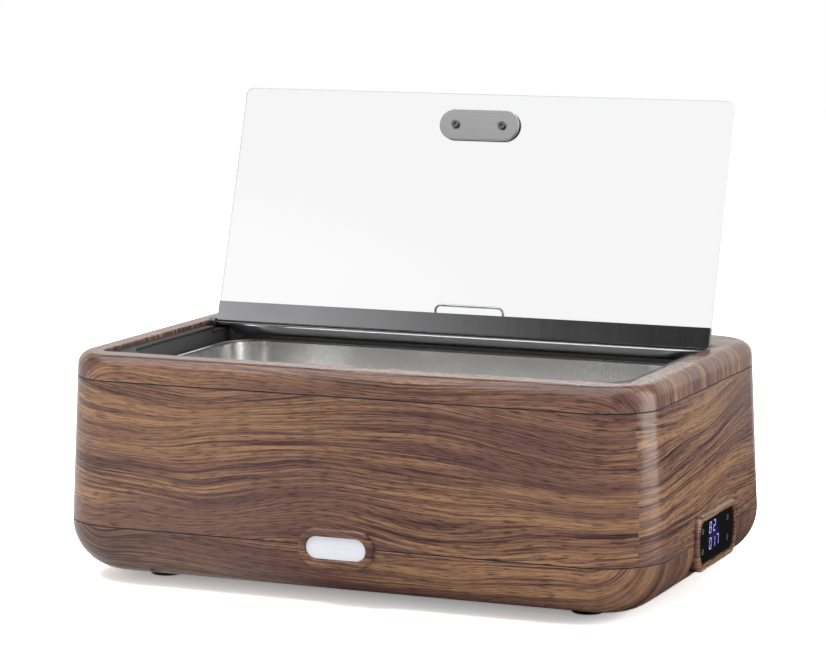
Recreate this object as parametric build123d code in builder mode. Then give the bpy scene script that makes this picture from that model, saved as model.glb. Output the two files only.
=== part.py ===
from build123d import *
import os
from math import atan, cos, degrees, radians, sin, tan

# Electric chafing dish: a wood-print housing of bowl, body and rim, a heated water bath with a
# lift-out food pan, and a glass lid on a hinge along its back, standing open against its stop.
# Millimetres. The origin is on the table under the middle of the dish, +X is its right, +Y its
# back and +Z up.

# Housing
LENGTH = 600.0  # along X, at the seam between bowl and body
DEPTH = 390.0  # along Y, at the same seam
FOOT_HEIGHT = 9.0
BOWL_HEIGHT = 49.5
BODY_HEIGHT = 138.0
RIM_HEIGHT = 23.5
DRAFT = 7.5  # how far each side of the body leans in over its height
SEAM_CORNER = 65.0  # corner radius in plan at the lower seam
TOP_CORNER = 54.0  # corner radius in plan at the upper seam
BOWL_EDGE = 48.5  # round between the sides and the flat bottom
RIM_EDGE = 13.0  # round along the rim's outer top edge
WALL = 2.5
SEAM_CHAMFER = 0.6

# Opening in the rim, and the ledge in it that the glass lies on
FRONT_BORDER = 34.0  # rim in front of the opening, measured from the upper seam
SIDE_BORDER = 28.0
REAR_DECK = 81.5
OPENING_CORNER = 10.0
OPENING_EDGE = 1.2
LEDGE_DROP = 4.0
LEDGE_WIDTH = 12.0
STEP_DROP = 9.0  # the ledge's lower rear end, which leaves room for the lid rail
STEP_LENGTH = 40.0

# Tie bolts that clamp rim, body and bowl together
BOLT_RADIUS = 2.0
BOLT_HEAD_RADIUS = 4.0
BOLT_HEAD_HEIGHT = 3.0
BOLT_HEAD_EDGE = 0.8
BOLT_HEAD_GAP = 1.5  # round each head in its recess
BOLT_SEAT = 30.0  # height of the heads' seats over the table
BOLT_TIP_DEPTH = 8.0  # how far under the rim's top the bolts end
BOLT_TIP_GAP = 1.0  # left in the hole beyond each bolt
BOLT_CLEARANCE = 0.3
THREAD_FIT = 0.03
COLUMN_RADIUS = 5.0
BOWL_COLUMN_RADIUS = 8.5
WEB = 3.0
END_COLUMN_X = 276.0
END_COLUMN_Y = 75.0
LONG_COLUMN_X = 200.0
LONG_COLUMN_Y = 168.0

# Feet
FOOT_RADIUS = 15.5
FOOT_X = 216.0
FOOT_Y = 113.0
FOOT_TAPER = 1.5
FOOT_EDGE = 1.0
FOOT_BOSS_RADIUS = 6.0
FOOT_BOSS_HEIGHT = 11.0
FOOT_SCREW_HEAD = 3.6
FOOT_SCREW_HEAD_HEIGHT = 2.6
FOOT_SCREW_RADIUS = 2.0
FOOT_SCREW_RECESS = 5.0
FOOT_SCREW_GAP = 1.0  # round each head in its recess
FOOT_SCREW_LENGTH = 12.0

# Vents in the bowl's bottom
VENT_LENGTH = 40.0
VENT_WIDTH = 4.0
VENT_PITCH = 10.0
VENT_COUNT = 7
VENT_ROW_PITCH = 60.0
VENT_X = -110.0

# Water bath
BATH_SHEET = 1.0
BATH_CORNER = 50.0  # front corners of its upper wall, and all corners of well and pan
BATH_REAR_CORNER = 14.0
BATH_OVERHANG = 5.0  # how far the bath's back wall stands behind the deck's front edge
BATH_SHELF_WIDTH = 14.0
BATH_SHELF_DROP = 25.1  # the shelf that carries the food pan, under the rim's top
BATH_WELL_DEPTH = 76.0
BATH_WELL_DRAFT = 6.0
BATH_WELL_EDGE = 20.0
BATH_FLANGE = 7.0
BATH_TOP_GAP = 0.2
BATH_SCREW_RADIUS = 1.5
BATH_SCREW_HEAD = 2.8
BATH_SCREW_HEAD_HEIGHT = 1.8
BATH_SCREW_LENGTH = 5.0
BATH_BOSS_RADIUS = 3.2

# Food pan
PAN_GAP = 5.5  # between its rolled edge and the bath's wall
PAN_SHEET = 0.8
PAN_DEPTH = 65.0
PAN_BEAD = 4.8
PAN_BEAD_ROUND = 2.3
PAN_FLANGE = 12.0
PAN_FLANGE_DROP = 0.6
PAN_DRAFT = 4.5
PAN_EDGE = 15.0
SEAT_GAP = 0.3

# Hinge
OPEN_ANGLE = 107.7  # from closed to resting on the stop
HINGE_SETBACK = 11.5  # axis in front of the deck's front edge
ROD_RADIUS = 1.75
ROD_FIT = 0.05
ROD_SEAT_FIT = 0.02
ROD_SEAT_DEPTH = 5.0
ROD_CHAMFER = 0.4
RAIL_SHEET = 0.8
RAIL_WIDTH = 22.0
RAIL_END_GAP = 0.5
BLOCK_THICKNESS = 7.3
BLOCK_FRONT = 6.5  # from the axis
BLOCK_BACK = 9.5
BLOCK_HEIGHT = 14.5
BLOCK_POCKET_GAP = 0.15
BLOCK_SEAT_DEPTH = 8.5
BLOCK_SEAT_GAP = 1.0  # between the rim's seat for a block and the bath's flange
BLOCK_SCREW_RADIUS = 1.5
BLOCK_SCREW_HEAD = 2.9
BLOCK_SCREW_LENGTH = 20.0
BLOCK_SCREW_BEHIND = 5.5
COVER_SHEET = 0.8
COVER_REACH = 8.8
COVER_SLOPE = 53.0  # the cover's lower face, under the horizontal
COVER_FACE = 16.9
COVER_BEND = 1.2
COVER_SLOT_GAP = 0.2
COVER_BACK_GAP = 0.1  # between its back edge and the deck
STOP_GAP = 0.3
COVER_SCREW_RADIUS = 1.1
COVER_SCREW_HEAD = 2.2
COVER_SCREW_HEAD_HEIGHT = 0.9
COVER_SCREW_LENGTH = 4.5
COVER_SCREW_EDGE = 0.5
COVER_SCREW_SETBACK = 2.9  # in front of the deck's front edge
COVER_SCREW_PITCH = 110.0
COVER_SCREW_COUNT = 5

# Glass lid and its handle
GLASS = 4.0
GLASS_CORNER = 8.0
GLASS_SIDE_GAP = 2.0
GLASS_FRONT_GAP = 1.5
GLASS_SETBACK = 3.2  # the glass's back edge from the hinge axis
LID_SEAT_GAP = 0.3
HANDLE_LENGTH = 85.0
HANDLE_WIDTH = 31.3
HANDLE_PLATE = 2.5
HANDLE_GASKET = 0.5
HANDLE_EDGE = 0.8
HANDLE_FROM_EDGE = 32.1
HANDLE_SCREW_SPACING = 49.8
HANDLE_SCREW_RADIUS = 2.5
HANDLE_SCREW_HEAD = 4.2
HANDLE_SCREW_HEAD_HEIGHT = 2.4
HANDLE_SCREW_EDGE = 0.6
HANDLE_SCREW_SOCKET = 3.0
HANDLE_SOCKET_DEPTH = 1.7
HANDLE_SCREW_LENGTH = 18.0
HANDLE_BUSH_RADIUS = 4.5
HANDLE_BUSH_GAP = 0.1
GRIP_RADIUS = 4.5
GRIP_STANDOFF = 20.0
GRIP_BEND = 10.0
GRIP_HOLE_GAP = 1.0  # left in the grip's holes beyond the screws

# Drip tray in the deck behind the hinge
TRAY_LENGTH = 300.0
TRAY_WIDTH = 26.0
TRAY_DEPTH = 34.0
TRAY_SHEET = 1.0
TRAY_CORNER = 8.0
TRAY_EDGE = 4.0
TRAY_FLANGE = 4.0
TRAY_SLOT_GAP = 0.5
TRAY_BEHIND = 27.0  # tray's middle behind the deck's front edge
TRAY_LIFT_GAP = 0.3
BAIL_WIRE = 1.15
BAIL_SPACING = 72.8
BAIL_HEIGHT = 21.6  # over the deck
BAIL_BEND = 6.0
BAIL_FOOT = 10.0

# Badge on the front
BADGE_LENGTH = 60.0
BADGE_HEIGHT = 21.0
BADGE_PLATE = 1.0
BADGE_GAP = 0.4
BADGE_BORDER = 8.0
BADGE_PROUD = 4.0
BADGE_FLOOR = 0.6
BADGE_EDGE = 3.0
BADGE_INNER_EDGE = 1.0
BADGE_PLATE_EDGE = 0.3
FITTINGS_DROP = 1.5  # middle of badge and control panel under the lower seam

# Control panel on the right
PANEL_LENGTH = 107.0
PANEL_HEIGHT = 40.3
PANEL_BOW = 7.0
PANEL_CORNER = 5.0
PANEL_GLASS = 2.0
PANEL_GAP = 0.3
PANEL_BORDER = 6.5
PANEL_PROUD = 3.8
PANEL_GLASS_DROP = 1.5
PANEL_EDGE = 3.0
PANEL_GLASS_EDGE = 0.5
PANEL_BEZEL_DEPTH = 20.0
PANEL_WINDOW_LENGTH = 92.0
PANEL_WINDOW_HEIGHT = 30.0
PANEL_TUB_WALL = 2.0
PANEL_TUB_DEPTH = 12.0
BOARD = 1.6
DIGIT_LENGTH = 38.0
DIGIT_HEIGHT = 13.0
DIGIT_DEPTH = 5.5
DIGIT_PITCH = 15.0
TOUCH_SPRING_RADIUS = 4.0
TOUCH_SPRING_WIRE = 1.0
TOUCH_X = 38.5
TOUCH_Z = 9.5

# Heater under the bath
HEATER_LENGTH = 320.0
HEATER_WIDTH = 130.0
HEATER_PLATE = 4.0
HEATER_CORNER = 12.0
ELEMENT_RADIUS = 3.5
ELEMENT_LENGTH = 240.0
ELEMENT_WIDTH = 100.0
ELEMENT_BEND = 18.0  # how far its loop ends short of the tails
ELEMENT_ROUND = 14.4
ELEMENT_TAIL_SPACING = 30.0
ELEMENT_TAIL_X = 172.0
ELEMENT_TAIL_DROP = 24.0
STUD_RADIUS = 2.5
STUD_X = 145.0
STUD_Y = 32.0
STUD_OVERHANG = 2.0
NUT_WIDTH = 8.0
NUT_HEIGHT = 4.0
SPACER_RADIUS = 4.5
SPACER_LENGTH = 12.0
SHIELD_SHEET = 1.0
SHIELD_LENGTH = 318.0
SHIELD_MARGIN = 18.0
STUD_CLEARANCE = 0.2
CUTOUT_RADIUS = 8.0
CUTOUT_HEIGHT = 9.0
CUTOUT_FLANGE = 3.0
CUTOUT_CAP_RADIUS = 6.5
SENSOR_RADIUS = 3.0
SENSOR_LENGTH = 24.0
SENSOR_X = -185.0
SENSOR_CLIP_LENGTH = 14.4
SENSOR_CLIP_WIDTH = 9.0
SENSOR_CLIP_SHEET = 1.0

# Control board in the bowl
CONTROL_X = 120.0
CONTROL_LENGTH = 130.0
CONTROL_WIDTH = 80.0
CONTROL_CORNER = 3.0
STANDOFF_HEIGHT = 8.0
STANDOFF_RADIUS = 3.5
STANDOFF_INSET = 6.0
BOARD_SCREW_RADIUS = 1.4
BOARD_SCREW_HEAD = 2.6
BOARD_SCREW_HEAD_HEIGHT = 1.8
BOARD_SCREW_LENGTH = 7.0
BOARD_SCREW_TIP_GAP = 0.5
TERMINAL_X = 170.0
TERMINAL_LENGTH = 44.0
TERMINAL_WIDTH = 12.0
TERMINAL_HEIGHT = 14.0
TRANSFORMER_LENGTH = 36.0
TRANSFORMER_WIDTH = 32.0
TRANSFORMER_HEIGHT = 28.0
TRANSFORMER_EDGE = 2.0
WINDING_LENGTH = 25.2
WINDING_WIDTH = 40.0
RELAY_LENGTH = 20.0
RELAY_WIDTH = 16.0
RELAY_HEIGHT = 16.0
RELAY_EDGE = 0.8
CAPACITOR_RADIUS = 6.0
CAPACITOR_HEIGHT = 20.0
CAPACITOR_EDGE = 1.0

# Mains inlet in the back
INLET_X = 120.0
INLET_Z = 96.0
INLET_FLANGE_LENGTH = 50.0
INLET_FLANGE_HEIGHT = 24.0
INLET_FLANGE = 2.5
INLET_BODY_LENGTH = 28.0
INLET_BODY_HEIGHT = 20.0
INLET_BODY_DEPTH = 22.0
INLET_SOCKET_LENGTH = 24.5
INLET_SOCKET_HEIGHT = 16.5
INLET_SOCKET_DEPTH = 17.0
INLET_SOCKET_CHAMFER = 4.5
INLET_GAP = 0.3
INLET_SCREW_SPACING = 40.0
INLET_SCREW_RADIUS = 1.5
INLET_SCREW_HEAD = 2.8
INLET_SCREW_HEAD_HEIGHT = 1.6
INLET_SCREW_LENGTH = 9.0
PIN_LENGTH = 2.0
PIN_HEIGHT = 4.0
PIN_REACH = 11.5
PIN_TAIL = 6.0
PIN_SPACING = 7.0
PIN_RISE = 2.0
PIN_FIT = 0.1

# Leads inside
MAINS_LEAD_RADIUS = 3.5
MAINS_LEAD_STRAIGHT = 26.0
MAINS_LEAD_LANDING = 24.0
MAINS_LEAD_OVERLAP = 4.0  # onto the control board
MAINS_LEAD_BEND = 18.0
HEATER_LEAD_RADIUS = 1.8
HEATER_LEAD_STRAIGHT = 16.0
HEATER_LEAD_BEND = 30.0
LEAD_GAP = 0.8
RIBBON_WIDTH = 16.0
RIBBON_THICKNESS = 1.2
RIBBON_INSET = 4.0  # from the control board's end
RIBBON_RISE = 14.0
RIBBON_STRAIGHT = 22.0
RIBBON_BEND = 8.0

# Levels and places that follow from the sizes above
LOWER_SEAM = FOOT_HEIGHT + BOWL_HEIGHT
UPPER_SEAM = LOWER_SEAM + BODY_HEIGHT
RIM_TOP = UPPER_SEAM + RIM_HEIGHT
DRAFT_RATE = DRAFT / BODY_HEIGHT
OPENING_RIGHT = LENGTH / 2 - DRAFT - SIDE_BORDER
OPENING_FRONT = -(DEPTH / 2 - DRAFT) + FRONT_BORDER
OPENING_REAR = DEPTH / 2 - DRAFT - REAR_DECK
LEDGE_TOP = RIM_TOP - LEDGE_DROP
STEP_TOP = RIM_TOP - STEP_DROP
STEP_START = OPENING_REAR - STEP_LENGTH
FLOOR_TOP = FOOT_HEIGHT + WALL
FITTINGS_Z = LOWER_SEAM - FITTINGS_DROP
END_COLUMNS = [(x, y) for x in (-END_COLUMN_X, END_COLUMN_X) for y in (-END_COLUMN_Y, END_COLUMN_Y)]
LONG_COLUMNS = [(x, y) for x in (-LONG_COLUMN_X, LONG_COLUMN_X) for y in (-LONG_COLUMN_Y, LONG_COLUMN_Y)]
COLUMNS = END_COLUMNS + LONG_COLUMNS
FOOT_TAPER_ANGLE = degrees(atan(FOOT_TAPER / FOOT_HEIGHT))
FEET = [(x, y) for x in (-FOOT_X, FOOT_X) for y in (-FOOT_Y, FOOT_Y)]

BATH_RIGHT = OPENING_RIGHT - LEDGE_WIDTH
BATH_FRONT = OPENING_FRONT + LEDGE_WIDTH
BATH_REAR = OPENING_REAR + BATH_OVERHANG
BATH_FLANGE_TOP = STEP_TOP - WALL
BATH_SHELF = RIM_TOP - BATH_SHELF_DROP
BATH_FLOOR = BATH_SHELF - BATH_WELL_DEPTH
BATH_UNDERSIDE = BATH_FLOOR - BATH_SHEET
PAN_TOP = BATH_SHELF + SEAT_GAP + PAN_BEAD
PAN_FLANGE_TOP = PAN_TOP - PAN_FLANGE_DROP
PAN_BOTTOM = PAN_TOP - PAN_DEPTH
BATH_SCREW_LINE = BATH_SHEET + BATH_FLANGE / 2
BATH_SCREWS = (
    [(x * (BATH_RIGHT + BATH_SCREW_LINE), y) for x in (-1, 1) for y in (-60.0, 40.0)]
    + [(x, BATH_FRONT - BATH_SCREW_LINE) for x in (-120.0, 120.0)]
    + [(x, BATH_REAR + BATH_SCREW_LINE) for x in (-185.0, 185.0)]
)

LEAN = radians(OPEN_ANGLE - 90.0)
HINGE_Y = OPENING_REAR - HINGE_SETBACK
HINGE_Z = LEDGE_TOP + LID_SEAT_GAP
LID_ALONG = (0.0, sin(LEAN), cos(LEAN))
LID_TOWARD = (0.0, -cos(LEAN), sin(LEAN))
LID_FACE = Plane((0.0, HINGE_Y, HINGE_Z), x_dir=(1.0, 0.0, 0.0), z_dir=LID_TOWARD)
LID_SECTION = Plane((0.0, HINGE_Y, HINGE_Z), x_dir=LID_ALONG, z_dir=(1.0, 0.0, 0.0))
BARREL_RADIUS = ROD_RADIUS + ROD_FIT + RAIL_SHEET
LID_HALF_LENGTH = OPENING_RIGHT - GLASS_SIDE_GAP
GLASS_REACH = HINGE_Y - OPENING_FRONT - GLASS_FRONT_GAP
HANDLE_REACH = GLASS_REACH - HANDLE_FROM_EDGE
HANDLE_SCREWS = [(side * HANDLE_SCREW_SPACING / 2, HANDLE_REACH) for side in (-1, 1)]
LID_NORMAL = Axis((0.0, HINGE_Y, HINGE_Z), LID_TOWARD)
HANDLE_BACK = GLASS + HANDLE_GASKET + HANDLE_PLATE
GRIP_HOLE_DEPTH = HANDLE_SCREW_LENGTH + GRIP_HOLE_GAP - HANDLE_BACK - HANDLE_GASKET - HANDLE_PLATE
GRIP_MIDDLE = LID_FACE.from_local_coords((0.0, HANDLE_REACH, 0.0))
GRIP_PLANE = Plane(GRIP_MIDDLE, x_dir=(1.0, 0.0, 0.0), z_dir=LID_ALONG)
RAIL_BACK = GLASS + RAIL_SHEET
RAIL_HEEL = GLASS_SETBACK - RAIL_SHEET
HEEL_Z = HINGE_Z + RAIL_HEEL * cos(LEAN) - RAIL_BACK * sin(LEAN)
COVER_TOP = HEEL_Z - STOP_GAP
BLOCK_INNER = LID_HALF_LENGTH + RAIL_END_GAP
BLOCK_OUTER = BLOCK_INNER + BLOCK_THICKNESS
BLOCK_BOTTOM = RIM_TOP - BLOCK_HEIGHT
BLOCK_SEAT_BOTTOM = BLOCK_BOTTOM - BLOCK_SEAT_DEPTH
TRAY_Y = OPENING_REAR + TRAY_BEHIND
TRAY_FLOOR = RIM_TOP + TRAY_SHEET - TRAY_DEPTH
BAIL_Z = TRAY_FLOOR + BAIL_WIRE
BAIL_PLANE = Plane((0.0, TRAY_Y, BAIL_Z), x_dir=(1.0, 0.0, 0.0), z_dir=(0.0, -1.0, 0.0))
BAIL_RISE = RIM_TOP + BAIL_HEIGHT - 2 * BAIL_WIRE - TRAY_FLOOR
COVER_SCREWS = [
    ((index - (COVER_SCREW_COUNT - 1) / 2) * COVER_SCREW_PITCH, OPENING_REAR - COVER_SCREW_SETBACK)
    for index in range(COVER_SCREW_COUNT)
]
BLOCK_SCREWS = [(side * (BLOCK_INNER + BLOCK_OUTER) / 2, HINGE_Y + BLOCK_SCREW_BEHIND) for side in (-1, 1)]

HEATER_TOP = BATH_UNDERSIDE
HEATER_UNDERSIDE = HEATER_TOP - HEATER_PLATE
SHIELD_TOP = HEATER_UNDERSIDE - NUT_HEIGHT - SPACER_LENGTH
ELEMENT_Z = HEATER_UNDERSIDE - ELEMENT_RADIUS
TAIL_Y = ELEMENT_TAIL_SPACING / 2
TAIL_END = ELEMENT_Z - ELEMENT_TAIL_DROP
STUD_END = SHIELD_TOP - SHIELD_SHEET - NUT_HEIGHT - STUD_OVERHANG
STUDS = [(x, y) for x in (-STUD_X, STUD_X) for y in (-STUD_Y, STUD_Y)]
BOARD_UNDERSIDE = FLOOR_TOP + STANDOFF_HEIGHT
BOARD_TOP = BOARD_UNDERSIDE + BOARD
BADGE_CREST = -DEPTH / 2 - BADGE_PROUD
BADGE_FACE = Plane((0.0, BADGE_CREST, FITTINGS_Z), x_dir=(1.0, 0.0, 0.0), z_dir=(0.0, -1.0, 0.0))
STANDOFFS = [
    (CONTROL_X + x * (CONTROL_LENGTH / 2 - STANDOFF_INSET), y * (CONTROL_WIDTH / 2 - STANDOFF_INSET))
    for x in (-1, 1)
    for y in (-1, 1)
]
PANEL_CREST = LENGTH / 2 + PANEL_PROUD
PANEL_GLASS_FACE = PANEL_CREST - PANEL_GLASS_DROP
PANEL_GLASS_BACK = PANEL_GLASS_FACE - PANEL_GLASS
PANEL_BOARD_FACE = PANEL_GLASS_BACK - PANEL_GAP - DIGIT_DEPTH
PANEL_TUB_END = PANEL_GLASS_BACK - PANEL_TUB_DEPTH
PANEL_TUB_LENGTH = PANEL_WINDOW_LENGTH + 2 * PANEL_TUB_WALL
PANEL_TUB_HEIGHT = PANEL_WINDOW_HEIGHT + 2 * PANEL_TUB_WALL
DISPLAY_FACE = Plane((PANEL_BOARD_FACE, 0.0, FITTINGS_Z), x_dir=(0.0, 1.0, 0.0), z_dir=(1.0, 0.0, 0.0))
INLET_FACE_Y = DEPTH / 2 - DRAFT_RATE * (INLET_Z - LOWER_SEAM)
INLET_MIDDLE = (INLET_X, INLET_FACE_Y, INLET_Z)
INLET_PLANE = Plane(INLET_MIDDLE, x_dir=(-1.0, 0.0, 0.0), z_dir=(0.0, 1.0, DRAFT_RATE))
INLET_PINS = [(-PIN_SPACING, -PIN_RISE), (0.0, PIN_RISE), (PIN_SPACING, -PIN_RISE)]
MAINS_LEAD_START = INLET_FACE_Y - INLET_BODY_DEPTH - PIN_TAIL - LEAD_GAP
RIBBON_START = CONTROL_X + CONTROL_LENGTH / 2 - RIBBON_INSET
RIBBON_END = PANEL_BOARD_FACE - BOARD


def housing_outline(z, inset=0.0):
    """Rounded rectangle of the drafted housing at height z, moved in by inset."""
    rise = z - LOWER_SEAM
    lean = DRAFT_RATE * rise + inset
    rounding = SEAM_CORNER - (SEAM_CORNER - TOP_CORNER) * rise / BODY_HEIGHT - inset
    with BuildSketch(Plane.XY.offset(z)) as outline:
        RectangleRounded(LENGTH - 2 * lean, DEPTH - 2 * lean, rounding)
    return outline.sketch


def opening_outline(z, grow=0.0):
    """Outline of the rim's opening at height z, square at its rear, grown by the same amount all round."""
    middle = (OPENING_FRONT + OPENING_REAR) / 2
    with BuildSketch(Plane((0.0, middle, z))) as outline:
        Rectangle(2 * (OPENING_RIGHT + grow), OPENING_REAR - OPENING_FRONT + 2 * grow)
        fillet(outline.vertices().group_by(Axis.Y)[0], OPENING_CORNER + grow)
    return outline.sketch


def bath_outline(z, grow=0.0, rear_corner=BATH_REAR_CORNER):
    """Outline of the inside of the bath's upper wall at height z, grown by the same amount all round."""
    middle = (BATH_FRONT + BATH_REAR) / 2
    with BuildSketch(Plane((0.0, middle, z))) as outline:
        Rectangle(2 * (BATH_RIGHT + grow), BATH_REAR - BATH_FRONT + 2 * grow)
        fillet(outline.vertices().group_by(Axis.Y)[0], BATH_CORNER + grow)
        fillet(outline.vertices().group_by(Axis.Y)[-1], rear_corner + grow)
    return outline.sketch


def cover_apex(inset):
    """Front corner of the hinge cover's profile, moved in from both faces."""
    half = radians(COVER_SLOPE / 2)
    return (OPENING_REAR - COVER_REACH + inset / tan(half), COVER_TOP - inset)


def cover_foot(inset):
    """Lower end of the hinge cover's sloping face, moved in from that face."""
    slope = radians(COVER_SLOPE)
    back = OPENING_REAR - COVER_REACH + COVER_FACE * cos(slope) + inset * sin(slope)
    return (back, COVER_TOP - COVER_FACE * sin(slope) + inset * cos(slope))


def panel_outline(x, grow=0.0):
    """Rounded rectangle with bowed ends, for the control panel's glass and bezel, in the plane X = x."""
    half_length = PANEL_LENGTH / 2 + grow
    half_height = PANEL_HEIGHT / 2 + grow
    shoulder = half_length - PANEL_BOW
    with BuildSketch(Plane((x, 0.0, FITTINGS_Z), x_dir=(0.0, 1.0, 0.0), z_dir=(1.0, 0.0, 0.0))) as outline:
        with BuildLine():
            Line((-shoulder, half_height), (shoulder, half_height))
            ThreePointArc((shoulder, half_height), (half_length, 0.0), (shoulder, -half_height))
            Line((shoulder, -half_height), (-shoulder, -half_height))
            ThreePointArc((-shoulder, -half_height), (-half_length, 0.0), (-shoulder, half_height))
        make_face()
        fillet(outline.vertices(), PANEL_CORNER + grow)
    return outline.sketch


def well_outline(z, grow=0.0):
    """Outline of the inside of the bath's drafted well at height z, grown by the same amount all round."""
    lean = BATH_WELL_DRAFT * (BATH_SHELF - z) / BATH_WELL_DEPTH
    return bath_outline(z, grow - BATH_SHELF_WIDTH - lean, BATH_CORNER)


def pan_outline(z, inset):
    """Outline of the food pan at height z, moved in by inset from the outside of its rolled edge."""
    return bath_outline(z, -PAN_GAP - inset, BATH_CORNER)


def handle_outline(height):
    """The handle's oval, with its screw holes, at a height over the glass's inner face."""
    with BuildSketch(LID_FACE.offset(height)) as outline:
        with Locations((0.0, HANDLE_REACH)):
            SlotOverall(HANDLE_LENGTH, HANDLE_WIDTH)
        with Locations(*HANDLE_SCREWS):
            Circle(HANDLE_SCREW_RADIUS + HANDLE_BUSH_GAP, mode=Mode.SUBTRACT)
    return outline.sketch


def tray_outline(z, grow=0.0):
    """Outline of the drip tray at height z, grown by the same amount all round."""
    with BuildSketch(Plane((0.0, TRAY_Y, z))) as outline:
        RectangleRounded(TRAY_LENGTH + 2 * grow, TRAY_WIDTH + 2 * grow, TRAY_CORNER + grow)
    return outline.sketch


def panel_rectangle(x, length, height):
    """Plain rectangle about the control panel's middle, in the plane X = x."""
    with BuildSketch(Plane((x, 0.0, FITTINGS_Z), x_dir=(0.0, 1.0, 0.0), z_dir=(1.0, 0.0, 0.0))) as outline:
        Rectangle(length, height)
    return outline.sketch


def discs(places, radius, z):
    """Equal discs at the given places in plan, at height z."""
    with BuildSketch(Plane.XY.offset(z)) as outline:
        with Locations(*places):
            Circle(radius)
    return outline.sketch


# Bowl: the lower shell, with columns for the tie bolts, bosses for the feet and vents in its bottom
with BuildPart() as bowl_outside:
    extrude(housing_outline(LOWER_SEAM), amount=-BOWL_HEIGHT)
    chamfer(bowl_outside.faces().sort_by(Axis.Z)[-1].edges(), SEAM_CHAMFER)
    fillet(bowl_outside.faces().sort_by(Axis.Z)[0].edges(), BOWL_EDGE)

with BuildPart() as bowl_cavity:
    extrude(housing_outline(LOWER_SEAM, WALL), amount=-(BOWL_HEIGHT - WALL))
    fillet(bowl_cavity.faces().sort_by(Axis.Z)[0].edges(), BOWL_EDGE - WALL)
    extrude(discs(COLUMNS, BOWL_COLUMN_RADIUS, FOOT_HEIGHT), amount=BOWL_HEIGHT, mode=Mode.SUBTRACT)
    extrude(discs(FEET, FOOT_BOSS_RADIUS, FLOOR_TOP), amount=FOOT_BOSS_HEIGHT, mode=Mode.SUBTRACT)
    extrude(discs(STANDOFFS, STANDOFF_RADIUS, FLOOR_TOP), amount=STANDOFF_HEIGHT, mode=Mode.SUBTRACT)

with BuildPart() as panel_hole:
    extrude(
        panel_rectangle(PANEL_TUB_END, PANEL_TUB_LENGTH + 2 * PANEL_GAP, PANEL_TUB_HEIGHT + 2 * PANEL_GAP),
        amount=PANEL_CREST - PANEL_TUB_END,
    )

with BuildPart() as base_bowl:
    add(bowl_outside.part)
    add(bowl_cavity.part, mode=Mode.SUBTRACT)
    extrude(discs(COLUMNS, BOLT_HEAD_RADIUS + BOLT_HEAD_GAP, 0.0), amount=BOLT_SEAT, mode=Mode.SUBTRACT)
    extrude(discs(COLUMNS, BOLT_RADIUS + BOLT_CLEARANCE, 0.0), amount=LOWER_SEAM, mode=Mode.SUBTRACT)
    extrude(
        discs(FEET, FOOT_SCREW_RADIUS + THREAD_FIT, FOOT_HEIGHT), amount=FOOT_BOSS_HEIGHT, mode=Mode.SUBTRACT
    )
    extrude(
        discs(STANDOFFS, BOARD_SCREW_RADIUS + THREAD_FIT, BOARD_UNDERSIDE),
        amount=-(BOARD_SCREW_LENGTH - BOARD),
        mode=Mode.SUBTRACT,
    )
    add(panel_hole.part, mode=Mode.SUBTRACT)
    with BuildSketch(Plane((VENT_X, 0.0, FOOT_HEIGHT))):
        with GridLocations(VENT_PITCH, VENT_ROW_PITCH, VENT_COUNT, 2):
            SlotOverall(VENT_LENGTH, VENT_WIDTH, rotation=90)
    extrude(amount=WALL, mode=Mode.SUBTRACT)

# Body: the drafted middle shell, with tubes for the tie bolts webbed to its wall
with BuildPart() as body_outside:
    loft(
        [
            housing_outline(LOWER_SEAM, SEAM_CHAMFER),
            housing_outline(LOWER_SEAM + SEAM_CHAMFER),
            housing_outline(UPPER_SEAM - SEAM_CHAMFER),
            housing_outline(UPPER_SEAM, SEAM_CHAMFER),
        ],
        ruled=True,
    )

with BuildPart() as body_cavity:
    loft([housing_outline(LOWER_SEAM, WALL), housing_outline(UPPER_SEAM, WALL)], ruled=True)
    extrude(discs(COLUMNS, COLUMN_RADIUS, LOWER_SEAM), amount=BODY_HEIGHT, mode=Mode.SUBTRACT)
    with BuildSketch(Plane.XY.offset(LOWER_SEAM)):
        for x, y in END_COLUMNS:
            with Locations(((x + LENGTH / 2 * x / abs(x)) / 2, y)):
                Rectangle(LENGTH / 2 - END_COLUMN_X, WEB)
        for x, y in LONG_COLUMNS:
            with Locations((x, (y + DEPTH / 2 * y / abs(y)) / 2)):
                Rectangle(WEB, DEPTH / 2 - LONG_COLUMN_Y)
    extrude(amount=BODY_HEIGHT, mode=Mode.SUBTRACT)

with BuildPart() as body_shell:
    add(body_outside.part)
    add(body_cavity.part, mode=Mode.SUBTRACT)
    extrude(
        discs(COLUMNS, BOLT_RADIUS + BOLT_CLEARANCE, LOWER_SEAM), amount=BODY_HEIGHT, mode=Mode.SUBTRACT
    )
    add(panel_hole.part, mode=Mode.SUBTRACT)
    with BuildSketch(INLET_PLANE):
        Rectangle(INLET_BODY_LENGTH + 2 * INLET_GAP, INLET_BODY_HEIGHT + 2 * INLET_GAP)
        with Locations((-INLET_SCREW_SPACING / 2, 0.0), (INLET_SCREW_SPACING / 2, 0.0)):
            Circle(INLET_SCREW_RADIUS + THREAD_FIT)
    extrude(amount=2 * WALL, both=True, mode=Mode.SUBTRACT)

# Space that the bath's wall and flange take under the ledge, which the rim and the hinge cover leave
with BuildPart() as bath_space:
    extrude(
        bath_outline(UPPER_SEAM, BATH_SHEET + BATH_FLANGE + SEAT_GAP), amount=BATH_FLANGE_TOP - UPPER_SEAM
    )
    extrude(bath_outline(UPPER_SEAM, -SEAT_GAP), amount=BATH_FLANGE_TOP - UPPER_SEAM, mode=Mode.SUBTRACT)

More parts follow.
